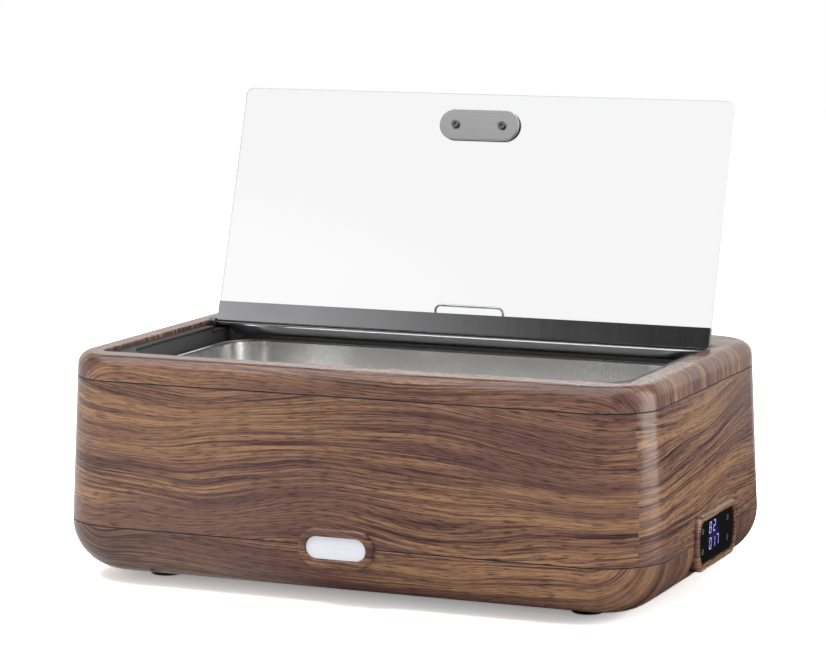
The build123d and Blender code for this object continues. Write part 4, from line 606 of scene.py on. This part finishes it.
gloss = add_node(
    tree,
    "ShaderNodeMapRange",
    {
        "Value": layers["lines"],
        "From Min": FILM_LINES[0],
        "From Max": FILM_LINES[1],
        "To Min": FILM_ROUGHNESS[0],
        "To Max": FILM_ROUGHNESS[1],
    },
)
relief = add_node(
    tree,
    "ShaderNodeBump",
    {"Height": layers["lines"], "Strength": FILM_RELIEF_STRENGTH, "Distance": FILM_RELIEF},
)
tree.links.new(printed.outputs[2], shader.inputs["Base Color"])
tree.links.new(gloss.outputs["Result"], shader.inputs["Roughness"])
tree.links.new(relief.outputs[0], shader.inputs["Normal"])
shader.inputs["IOR"].default_value = 1.5
shader.inputs["Specular IOR Level"].default_value = 0.3


PATCHES_PER_METRE = 45.0
PATCH_WEAR = 0.08  # of roughness that a patch adds or takes off
MOULD_RELIEF = 0.0002
MOULD_RELIEF_STRENGTH = 0.15


def moulded(name, colour, roughness, mottle=0.12, grain_per_metre=2500.0):
    """Moulded plastic or rubber: a fine matt grain as relief, and slow uneven patches in its tone.

    A patch lightens or darkens the colour by the mottle at most. The usual grain is 0.4 mm, coarser
    than a real mould's, which wouldn't show.
    """
    material = bpy.data.materials.new(name)
    material.use_nodes = True
    tree = material.node_tree
    shader = tree.nodes["Principled BSDF"]
    place = add_node(tree, "ShaderNodeTexCoord").outputs["Object"]
    grit = add_node(
        tree, "ShaderNodeTexNoise", {"Vector": place, "Scale": grain_per_metre, "Detail": 1.0}
    )
    patches = add_node(
        tree, "ShaderNodeTexNoise", {"Vector": place, "Scale": PATCHES_PER_METRE, "Detail": 2.0}
    )
    shade = add_node(
        tree,
        "ShaderNodeMapRange",
        {"Value": patches.outputs["Fac"], "To Min": 1.0 - mottle, "To Max": 1.0 + mottle},
    )
    tinted = add_node(
        tree,
        "ShaderNodeVectorMath",
        {0: linear(colour)[:3], 3: shade.outputs["Result"]},
        operation="SCALE",
    )
    wear = add_node(
        tree,
        "ShaderNodeMapRange",
        {
            "Value": patches.outputs["Fac"],
            "To Min": roughness - PATCH_WEAR,
            "To Max": roughness + PATCH_WEAR,
        },
    )
    relief = add_node(
        tree,
        "ShaderNodeBump",
        {
            "Height": grit.outputs["Fac"],
            "Strength": MOULD_RELIEF_STRENGTH,
            "Distance": MOULD_RELIEF,
        },
    )
    tree.links.new(tinted.outputs[0], shader.inputs["Base Color"])
    tree.links.new(wear.outputs["Result"], shader.inputs["Roughness"])
    tree.links.new(relief.outputs[0], shader.inputs["Normal"])
    return material


# Bare ABS, as it left the mould: a dull, even black inside the shells. On the eased edges along
# their seams the same black is painted shade, so that each seam reads as a dark line.
bare_abs_and_seam_shade = moulded("raw_black_abs_and_seam_shade", "#1d1c1c", 0.5)


def dress_shell(node_name, name, sheet, is_outside):
    """Builds a shell on its CAD node's mesh: film where is_outside says so, bare ABS elsewhere.

    Sheet gives each corner its place on the print, and is_outside reads each face's middle and mean
    normal.
    """
    mesh, places, normals = merged_copy(node_name, name)
    layer = mesh.uv_layers.new(name="film")
    layer.uv.foreach_set("vector", sheet(places).reshape(-1))
    mesh.materials.append(walnut)
    mesh.materials.append(bare_abs_and_seam_shade)
    # The bare faces include the eased seam edges, whose black is painted shade.
    bare = ~is_outside(places.mean(axis=1), normals.mean(axis=1))
    mesh.polygons.foreach_set("material_index", bare.astype(np.int32))
    shell = bpy.data.objects.new(name, mesh)
    bpy.context.scene.collection.objects.link(shell)
    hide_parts(node_name)
    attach(shell, "housing")


def in_bolt_recess(middles):
    """Picks the faces within a recess's radius of a bolt's axis, up to where the film ends."""
    away = np.abs(middles[:, None, :2]) - BOLT_PLACES
    near = np.linalg.norm(away, axis=-1).min(axis=1) < BOLT_RECESS
    return near & (middles[:, 2] < BOLT_RECESS_FILM)


bowl_fold = (BOWL_BOTTOM, -1.0, BOWL_EDGE, HALF_LENGTH, HALF_DEPTH, LOWER_CORNER)
rim_fold = (RIM_TOP, 1.0, RIM_EDGE, HALF_LENGTH - RIM_LEAN, HALF_DEPTH - RIM_LEAN, RIM_CORNER)
dress_shell(
    "base_bowl",
    "bowl",
    lambda places: draped_sheet(places, *bowl_fold) + BOWL_SHEET_SHIFT,
    lambda middles, normals: draped_side(middles, normals, *bowl_fold) | in_bolt_recess(middles),
)
dress_shell("body_shell", "body", wrapped_sheet, body_side)
dress_shell(
    "top_rim",
    "rim",
    lambda places: draped_sheet(places, *rim_fold) + RIM_SHEET_SHIFT,
    lambda middles, normals: draped_side(middles, normals, *rim_fold)
    | ((middles[:, 2] > LEDGE_TOP + RIM_LIP) & (normals[:, 2] > RIM_UNDERSIDE)),
)
dress_shell(
    "badge_surround",
    "badge_frame",
    lambda places: places[..., [0, 2]] + BADGE_SHEET_SHIFT,
    lambda middles, normals: np.full(len(middles), True),  # film all over
)
dress_shell(
    "panel_bezel",
    "panel_frame",
    lambda places: places[..., [1, 2]] + PANEL_SHEET_SHIFT,
    lambda middles, normals: middles[:, 0] > PANEL_CREST,
)


# Feet: four tapered pads of black rubber under the bowl, each held by a zinc-plated screw from
# below. Eight long bolts of the same finish tie rim, body and bowl together.
SMUDGES_PER_METRE = 14.0
SMUDGE_WEAR = 0.04  # of roughness that a smudge adds or takes off
MARK_WEAR = 0.08  # of roughness that the tooling marks add
MARK_SHADE = 0.14  # by which the marks lighten or darken the metal
METAL_RELIEF_STRENGTH = 0.3


def dress(material, *node_names):
    """Gives CAD nodes their material."""
    for node_name in node_names:
        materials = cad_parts[node_name].data.materials
        materials.clear()
        materials.append(material)


def metal(name, colour, roughness, scratches, relief_mm):
    """Bare metal with its tooling marks: noise stretched along the marks, read as height and gloss.

    The scratches are marks per metre along X, Y and Z: 900 puts them 1.1 mm apart, coarser than
    real brushing, which wouldn't show.
    """
    material = bpy.data.materials.new(name)
    material.use_nodes = True
    tree = material.node_tree
    shader = tree.nodes["Principled BSDF"]
    place = add_node(tree, "ShaderNodeTexCoord").outputs["Object"]
    stretched = add_node(tree, "ShaderNodeMapping", {"Vector": place, "Scale": scratches})
    marks = add_node(
        tree, "ShaderNodeTexNoise", {"Vector": stretched.outputs[0], "Scale": 1.0, "Detail": 2.0}
    ).outputs["Fac"]
    smudges = add_node(
        tree, "ShaderNodeTexNoise", {"Vector": place, "Scale": SMUDGES_PER_METRE, "Detail": 3.0}
    ).outputs["Fac"]
    worn = add_node(
        tree,
        "ShaderNodeMapRange",
        {
            "Value": smudges,
            "To Min": roughness - SMUDGE_WEAR,
            "To Max": roughness + SMUDGE_WEAR,
        },
    )
    gloss = add_node(
        tree,
        "ShaderNodeMath",
        {0: marks, 1: MARK_WEAR, 2: worn.outputs["Result"]},
        operation="MULTIPLY_ADD",
    )
    shade = add_node(
        tree,
        "ShaderNodeMapRange",
        {"Value": marks, "To Min": 1.0 - MARK_SHADE, "To Max": 1.0 + MARK_SHADE},
    )
    tinted = add_node(
        tree,
        "ShaderNodeVectorMath",
        {0: linear(colour)[:3], 3: shade.outputs["Result"]},
        operation="SCALE",
    )
    relief = add_node(
        tree,
        "ShaderNodeBump",
        {"Height": marks, "Strength": METAL_RELIEF_STRENGTH, "Distance": relief_mm / 1000},
    )
    tree.links.new(tinted.outputs[0], shader.inputs["Base Color"])
    tree.links.new(gloss.outputs[0], shader.inputs["Roughness"])
    tree.links.new(relief.outputs[0], shader.inputs["Normal"])
    shader.inputs["Metallic"].default_value = 1.0
    return material


# Rubber is flat black with hardly a highlight. Zinc plate is a cool grey, a little cloudy.
black_rubber = moulded("black_rubber", "#131313", 0.7)
zinc = metal("zinc_plate", "#a3a29c", 0.36, (300.0, 300.0, 300.0), 0.05)
dress(black_rubber, "feet")
dress(zinc, "foot_screws", "tie_bolts")


# Water bath: a well drawn from stainless sheet, hung from the rim by screws. It is dull, with marks
# down its walls, and its grey is darkened to paint the shade in the well. Only its upper wall shows,
# between the ledge and the pan.
drawn_steel_painted_shade = metal("drawn_steel_painted_shade", "#6b6b6e", 0.42, (90.0, 90.0, 700.0), 0.10)
dress(drawn_steel_painted_shade, "water_bath")
dress(zinc, "bath_screws")


# Food pan: drawn from thin stainless sheet, with a rolled edge, and hung in the bath by its flange.
# It is polished to an even satin, so that its walls mirror the room as soft bands of grey.
satin_steel = metal("satin_steel", "#dddcda", 0.22, (1800.0, 1800.0, 1800.0), 0.002)
dress(satin_steel, "food_pan")


# Hinge: a ground rod in two milled end blocks, and a folded steel cover screwed over the nose of
# the deck. The rod shines softly in rings, the blocks are darker, and the cover is brushed across
# its length, so that it mirrors the pan as a plain grey strip.
ground_steel = metal("ground_steel", "#9b9b99", 0.25, (1200.0, 200.0, 200.0), 0.02)
milled_steel = metal("milled_steel", "#6b6b6c", 0.38, (500.0, 900.0, 500.0), 0.05)
dull_steel = metal("dull_brushed_steel", "#8e8e90", 0.28, (900.0, 8.0, 8.0), 0.0015)
dress(dull_steel, "hinge_cover")
dress(ground_steel, "hinge_rod")
dress(milled_steel, "hinge_block_right", "hinge_block_left")
dress(zinc, "block_screws", "cover_screws")


# Lid: 4 mm clear toughened glass with ground edges, held along its back edge in a folded rail that
# is rolled round the hinge rod. The rail is brushed across its length to a bright finish, which
# draws the room's white and black down it in fine streaks.
LID_LEAN = radians(17.7)  # back past upright, as it stands open
FACE_TILT = 0.9  # of a normal along the glass's own, under which a face is part of its edge
GLASS_WIPES = (9.0, 30.0, 30.0)  # streaks of a wiping cloth per metre
GLASS_HAZE = (0.45, 0.8)  # of the streaks, over which a haze is left
GLASS_HAZE_ROUGHNESS = 0.012
EDGE_GRIT_PER_METRE = 3000.0
EDGE_RELIEF = 0.0001
EDGE_RELIEF_STRENGTH = 0.4

brushed_steel = metal("brushed_steel", "#b2b2b4", 0.10, (900.0, 8.0, 8.0), 0.0015)
dress(brushed_steel, "lid_rail")

# Float glass, toughened: clear, with sharp reflections that wiping has dulled by a trace.
clear_glass = bpy.data.materials.new("clear_glass")
clear_glass.use_nodes = True
tree = clear_glass.node_tree
shader = tree.nodes["Principled BSDF"]
place = add_node(tree, "ShaderNodeTexCoord").outputs["Object"]
wiping = add_node(tree, "ShaderNodeMapping", {"Vector": place, "Scale": GLASS_WIPES})
streaks = add_node(
    tree, "ShaderNodeTexNoise", {"Vector": wiping.outputs[0], "Scale": 1.0, "Detail": 3.0}
)
haze = add_node(
    tree,
    "ShaderNodeMapRange",
    {
        "Value": streaks.outputs["Fac"],
        "From Min": GLASS_HAZE[0],
        "From Max": GLASS_HAZE[1],
        "To Max": GLASS_HAZE_ROUGHNESS,
    },
)
tree.links.new(haze.outputs["Result"], shader.inputs["Roughness"])
shader.inputs["Base Color"].default_value = linear("#fafbfa")
shader.inputs["Transmission Weight"].default_value = 1.0
shader.inputs["IOR"].default_value = 1.52

# Glass ground at its edge: frosted, pale and half clear, so that the lid's outline shows.
ground_edge = bpy.data.materials.new("ground_glass_edge")
ground_edge.use_nodes = True
tree = ground_edge.node_tree
shader = tree.nodes["Principled BSDF"]
place = add_node(tree, "ShaderNodeTexCoord").outputs["Object"]
grinding = add_node(
    tree, "ShaderNodeTexNoise", {"Vector": place, "Scale": EDGE_GRIT_PER_METRE, "Detail": 1.0}
)
relief = add_node(
    tree,
    "ShaderNodeBump",
    {
        "Height": grinding.outputs["Fac"],
        "Strength": EDGE_RELIEF_STRENGTH,
        "Distance": EDGE_RELIEF,
    },
)
tree.links.new(relief.outputs[0], shader.inputs["Normal"])
shader.inputs["Base Color"].default_value = linear("#c4cac8")
shader.inputs["Roughness"].default_value = 0.55
shader.inputs["Alpha"].default_value = 0.45
shader.inputs["IOR"].default_value = 1.52

glass_mesh, _, glass_normals = merged_copy("glass_lid", "lid_glass")
toward = np.array([0.0, -np.cos(LID_LEAN), np.sin(LID_LEAN)])
on_edge = np.abs(glass_normals.mean(axis=1) @ toward) < FACE_TILT
glass_mesh.materials.append(clear_glass)
glass_mesh.materials.append(ground_edge)
glass_mesh.polygons.foreach_set("material_index", on_edge.astype(np.int32))
glass_mesh.polygons.foreach_set("use_smooth", np.zeros(len(on_edge), bool))
lid_glass = bpy.data.objects.new("lid_glass", glass_mesh)
bpy.context.scene.collection.objects.link(lid_glass)
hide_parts("glass_lid")
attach(lid_glass, "lid")


# Handle: oval plates of brushed steel on thin rubber gaskets on both faces of the glass, with two
# socket screws through nylon bushes into the bent bar behind. The plates are brushed along their
# length to a mid grey, the bar shines evenly, the screws are darker, and nylon is a milky white.
plate_steel = metal("plate_steel", "#929292", 0.30, (8.0, 1200.0, 1200.0), 0.05)
bar_steel = metal("bar_steel", "#8f8f8f", 0.25, (900.0, 900.0, 900.0), 0.03)
screw_steel = metal("screw_steel", "#5f5f60", 0.3, (700.0, 700.0, 700.0), 0.04)
white_nylon = moulded("natural_nylon", "#dcdcd6", 0.45)
dress(plate_steel, "handle_front_plate", "handle_back_plate")
dress(bar_steel, "handle_grip")
dress(screw_steel, "handle_screws")
dress(black_rubber, "handle_front_gasket", "handle_back_gasket")
dress(white_nylon, "glass_bushes")


# Drip tray: a shallow tray folded from brushed steel sheet, in the deck's slot. It is lifted by a
# bail of drawn steel wire, bright enough to stand out behind the glass.
tray_steel = metal("tray_steel", "#8b8b8c", 0.34, (10.0, 900.0, 900.0), 0.05)
bright_wire = metal("bright_wire", "#8c8c8e", 0.30, (900.0, 900.0, 900.0), 0.005)
dress(tray_steel, "drip_tray")
dress(bright_wire, "tray_bail")

# The ceiling softbox is screened from the slim rounded steel, where it would show as white lines.
screened = bpy.data.collections.new("screened_from_ceiling")
for node_name in ("hinge_cover", "lid_rail", "tray_bail"):
    screened.objects.link(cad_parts[node_name])
for entry in screened.collection_objects:
    entry.light_linking.link_state = "EXCLUDE"
bpy.data.objects["ceiling"].light_linking.receiver_collection = screened


# Badge: a bare oval plate of glossy white plastic, sunk in its walnut-print frame. Its face is
# smooth, with a cool even white and one soft highlight.
white_plastic = moulded("white_plastic", "#e9ecf2", 0.25, 0.015, 4000.0)
dress(white_plastic, "badge_plate")


# Control panel: black glass, printed from behind, in the side's walnut-print frame. The digits and
# the touch marks shine through it: two figures over three, and a mark in each corner.
PANEL_FACE = 0.30233  # a hair in front of the glass, so that figures and marks show
FINGER_MARKS_PER_METRE = 60.0
FINGER_MARKS = (0.4, 0.75)  # of the marks, over which the glass turns duller
PANEL_ROUGHNESS = (0.05, 0.16)
HALO_MIDDLE = (-0.008, 0.060)  # along Y and Z
HALO_REACH = (0.020, 0.016)
HALO_STRENGTH = 0.22
FIGURE_HEIGHT = 0.0098
FIGURE_WIDTH = 0.0056
FIGURE_BAR = 0.0011
FIGURE_SLANT = 0.10
BAR_TIP = 0.12  # of a bar's width from its line's end to its tip
BAR_SHOULDER = 0.62  # and to where it has its full width
FIGURE_CELLS_PER_METRE = 900.0
FIGURE_GLOW = (0.75, 1.15)
BARS = {
    # name: from and to, in figure widths and half heights
    "top": ((0, 2), (1, 2)),
    "upper right": ((1, 2), (1, 1)),
    "lower right": ((1, 1), (1, 0)),
    "bottom": ((1, 0), (0, 0)),
    "lower left": ((0, 0), (0, 1)),
    "upper left": ((0, 1), (0, 2)),
    "middle": ((0, 1), (1, 1)),
}
FIGURES = {
    # figure: the bars that are off
    "0": ("middle",),
    "1": ("top", "bottom", "lower left", "upper left", "middle"),
    "2": ("upper left", "lower right"),
    "7": ("bottom", "lower left", "upper left", "middle"),
    "8": (),
}
SHOWN = (
    # figure, middle along Y, middle height
    ("8", -0.0180, 0.0675),
    ("2", -0.0055, 0.0675),
    ("0", -0.0180, 0.0523),
    ("1", -0.0070, 0.0523),
    ("7", 0.0040, 0.0523),
)
MARKS = ((-0.041, 0.0675), (-0.041, 0.0484), (0.035, 0.0675), (0.035, 0.0484))
MARK_RADIUS = 0.0026
MARK_LINE = 0.0005
MARK_DASH = 0.0022  # length of the dash inside a mark
MARK_SIDES = 36

# Smoked glass: nearly black, with a weak reflection, finger marks, and a violet bloom round the
# lit figures.
smoked_glass = bpy.data.materials.new("smoked_panel_glass")
smoked_glass.use_nodes = True
tree = smoked_glass.node_tree
shader = tree.nodes["Principled BSDF"]
place = add_node(tree, "ShaderNodeTexCoord").outputs["Object"]
touches = add_node(
    tree, "ShaderNodeTexNoise", {"Vector": place, "Scale": FINGER_MARKS_PER_METRE, "Detail": 3.0}
)
smear = add_node(
    tree,
    "ShaderNodeMapRange",
    {
        "Value": touches.outputs["Fac"],
        "From Min": FINGER_MARKS[0],
        "From Max": FINGER_MARKS[1],
        "To Min": PANEL_ROUGHNESS[0],
        "To Max": PANEL_ROUGHNESS[1],
    },
)
rows = add_node(
    tree,
    "ShaderNodeMapping",
    {
        "Vector": place,
        "Location": (0.0, -HALO_MIDDLE[0] / HALO_REACH[0], -HALO_MIDDLE[1] / HALO_REACH[1]),
        "Scale": (0.0, 1.0 / HALO_REACH[0], 1.0 / HALO_REACH[1]),
    },
)
halo = add_node(
    tree, "ShaderNodeTexGradient", {"Vector": rows.outputs[0]}, gradient_type="SPHERICAL"
)
bloom = add_node(
    tree, "ShaderNodeMath", {0: halo.outputs["Fac"], 1: HALO_STRENGTH}, operation="MULTIPLY"
)
tree.links.new(smear.outputs["Result"], shader.inputs["Roughness"])
tree.links.new(bloom.outputs[0], shader.inputs["Emission Strength"])
shader.inputs["Emission Color"].default_value = linear("#4a3fc0")
shader.inputs["Base Color"].default_value = linear("#050506")
shader.inputs["Specular IOR Level"].default_value = 0.15
dress(smoked_glass, "display_glass")


def figure_bars(figure, middle_y, middle_z):
    """Corners of a figure's lit bars: each a long hexagon from one end to the other of its line.

    An end's corners lie half the bar's width either side of the line, the same length in from the
    tip; every height moves its point along Y by the slant.
    """
    ends = np.array([line for bar, line in BARS.items() if bar not in FIGURES[figure]], float)
    ends = (ends - (0.5, 1.0)) * (FIGURE_WIDTH, FIGURE_HEIGHT / 2)
    run = ends[:, 1] - ends[:, 0]
    run = run / np.linalg.norm(run, axis=1, keepdims=True)
    side = np.stack([-run[:, 1], run[:, 0]], axis=1) * FIGURE_BAR / 2
    inset = run * FIGURE_BAR * BAR_SHOULDER
    tip = run * FIGURE_BAR * BAR_TIP
    first, last = ends[:, 0] + tip, ends[:, 1] - tip
    near, far = ends[:, 0] + inset, ends[:, 1] - inset
    outline = np.stack([first, near - side, far - side, last, far + side, near + side], axis=1)
    across = outline[..., 0] + outline[..., 1] * FIGURE_SLANT
    flat = np.zeros_like(across) + PANEL_FACE
    return np.stack([flat, across + middle_y, outline[..., 1] + middle_z], axis=-1)


corners = np.concatenate([figure_bars(*shown) for shown in SHOWN]).reshape(-1, 3)
figure_mesh = bpy.data.meshes.new("lit_figures")
figure_mesh.from_pydata(corners.tolist(), [], np.arange(len(corners)).reshape(-1, 6).tolist())

# Light from the digit modules, spread behind the glass: a cool bluish white, slightly uneven.
figure_light = bpy.data.materials.new("figure_light")
figure_light.use_nodes = True
tree = figure_light.node_tree
shader = tree.nodes["Principled BSDF"]
place = add_node(tree, "ShaderNodeTexCoord").outputs["Object"]
cells = add_node(
    tree, "ShaderNodeTexNoise", {"Vector": place, "Scale": FIGURE_CELLS_PER_METRE, "Detail": 1.0}
)
uneven = add_node(
    tree,
    "ShaderNodeMapRange",
    {"Value": cells.outputs["Fac"], "To Min": FIGURE_GLOW[0], "To Max": FIGURE_GLOW[1]},
)
tree.links.new(uneven.outputs["Result"], shader.inputs["Emission Strength"])
shader.inputs["Emission Color"].default_value = linear("#c6caff")
shader.inputs["Base Color"].default_value = linear("#101018")
figure_mesh.materials.append(figure_light)
lit_figures = bpy.data.objects.new("lit_figures", figure_mesh)
bpy.context.scene.collection.objects.link(lit_figures)
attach(lit_figures, "housing")

# Touch marks: at each place a ring between two circles of points, and a dash inside it.
turn = np.linspace(0.0, 2 * pi, MARK_SIDES + 1)[:-1]
radii = np.array([MARK_RADIUS, MARK_RADIUS - MARK_LINE])
ring_y = (np.array(MARKS)[:, 0, None, None] + radii[:, None] * np.cos(turn)).reshape(-1)
ring_z = (np.array(MARKS)[:, 1, None, None] + radii[:, None] * np.sin(turn)).reshape(-1)
rings = np.stack([np.full_like(ring_y, PANEL_FACE), ring_y, ring_z], axis=-1)
step = np.arange(MARK_SIDES)
after = (step + 1) % MARK_SIDES
ring_faces = np.stack([step, after, after + MARK_SIDES, step + MARK_SIDES], axis=1)
ring_starts = np.arange(len(MARKS))[:, None, None] * 2 * MARK_SIDES
ring_faces = (ring_faces[None] + ring_starts).reshape(-1, 4)
dash = np.array([(-1, -1), (1, -1), (1, 1), (-1, 1)]) * (MARK_DASH / 2, MARK_LINE / 2)
dashes = (np.array(MARKS)[:, None, :] + dash).reshape(-1, 2)
dashes = np.column_stack([np.full(len(dashes), PANEL_FACE), dashes])
dash_faces = np.arange(len(dashes)).reshape(-1, 4) + len(rings)
mark_mesh = bpy.data.meshes.new("touch_marks")
mark_mesh.from_pydata(
    np.concatenate([rings, dashes]).tolist(), [], np.concatenate([ring_faces, dash_faces]).tolist()
)

# Translucent ink on the back of the glass: a dim grey green.
mark_ink = moulded("mark_ink", "#7c8a86", 0.4, 0.2, 3000.0)
mark_mesh.materials.append(mark_ink)
touch_marks = bpy.data.objects.new("touch_marks", mark_mesh)
bpy.context.scene.collection.objects.link(touch_marks)
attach(touch_marks, "housing")

# Behind the glass: a board of green laminate, mottled by its weave, and satin black modules.
board_green = moulded("board_laminate", "#1d4a2b", 0.45, 0.2, 1200.0)
dark_moulding = moulded("dark_moulding", "#1f1f22", 0.45)
dress(board_green, "display_board")
dress(dark_moulding, "digit_modules")
dress(zinc, "touch_springs")


# Heater: a cast aluminium plate under the bath with a sheathed element, a mill-finish shield below
# it on glazed spacers, and a cutout and a sensor clipped beside them. The casting is pale and
# pitted, the sheath brown from heat, the shield streaked by rolling, and the glaze glossy cream.
cast_aluminium = metal("cast_aluminium", "#a9a9a6", 0.5, (420.0, 420.0, 420.0), 0.25)
mill_aluminium = metal("mill_aluminium", "#b4b4b1", 0.33, (12.0, 700.0, 700.0), 0.06)
element_sheath = metal("element_sheath", "#55504b", 0.45, (300.0, 300.0, 300.0), 0.08)
glazed_ceramic = moulded("glazed_ceramic", "#e2ddd2", 0.2, 0.05, 500.0)
dress(cast_aluminium, "heater_plate")
dress(mill_aluminium, "heat_shield")
dress(element_sheath, "heating_element")
dress(glazed_ceramic, "shield_spacers", "thermal_cutout")
dress(zinc, "heater_studs", "heater_nuts", "temperature_sensor")


# Control board: green laminate on four standoffs in the bowl, with its terminal block, taped
# transformer, relay and sleeved capacitors. The mouldings shine a little, and the tape is duller
# and more uneven.
terminal_green = moulded("terminal_green", "#2c5a35", 0.4)
winding_tape = moulded("winding_tape", "#2c2723", 0.5, 0.25)
relay_blue = moulded("relay_blue", "#1a2c52", 0.3)
capacitor_sleeve = moulded("capacitor_sleeve", "#1c1c26", 0.3)
dress(board_green, "control_board")
dress(zinc, "board_screws")
dress(terminal_green, "terminal_block")
dress(winding_tape, "transformer")
dress(relay_blue, "mains_relay")
dress(capacitor_sleeve, "capacitors")


# Mains inlet: a socket moulded in black nylon, with a dull sheen, held in the back wall by two
# screws. Its pins are nickel-plated, which is bright and slightly yellow.
inlet_nylon = moulded("inlet_nylon", "#171717", 0.42)
nickel = metal("nickel_plate", "#b5b1a6", 0.22, (600.0, 600.0, 600.0), 0.02)
dress(inlet_nylon, "power_inlet")
dress(nickel, "inlet_pins")
dress(zinc, "inlet_screws")


# Leads inside: the mains lead in its black PVC sheath, the element's leads in soft red silicone,
# and the panel's flat grey ribbon. All three are matt.
lead_sheath = moulded("lead_sheath", "#161616", 0.55)
silicone_red = moulded("silicone_red", "#7d1712", 0.5)
ribbon_grey = moulded("ribbon_grey", "#8d8d92", 0.5)
dress(lead_sheath, "mains_lead")
dress(silicone_red, "heater_leads")
dress(ribbon_grey, "display_ribbon")
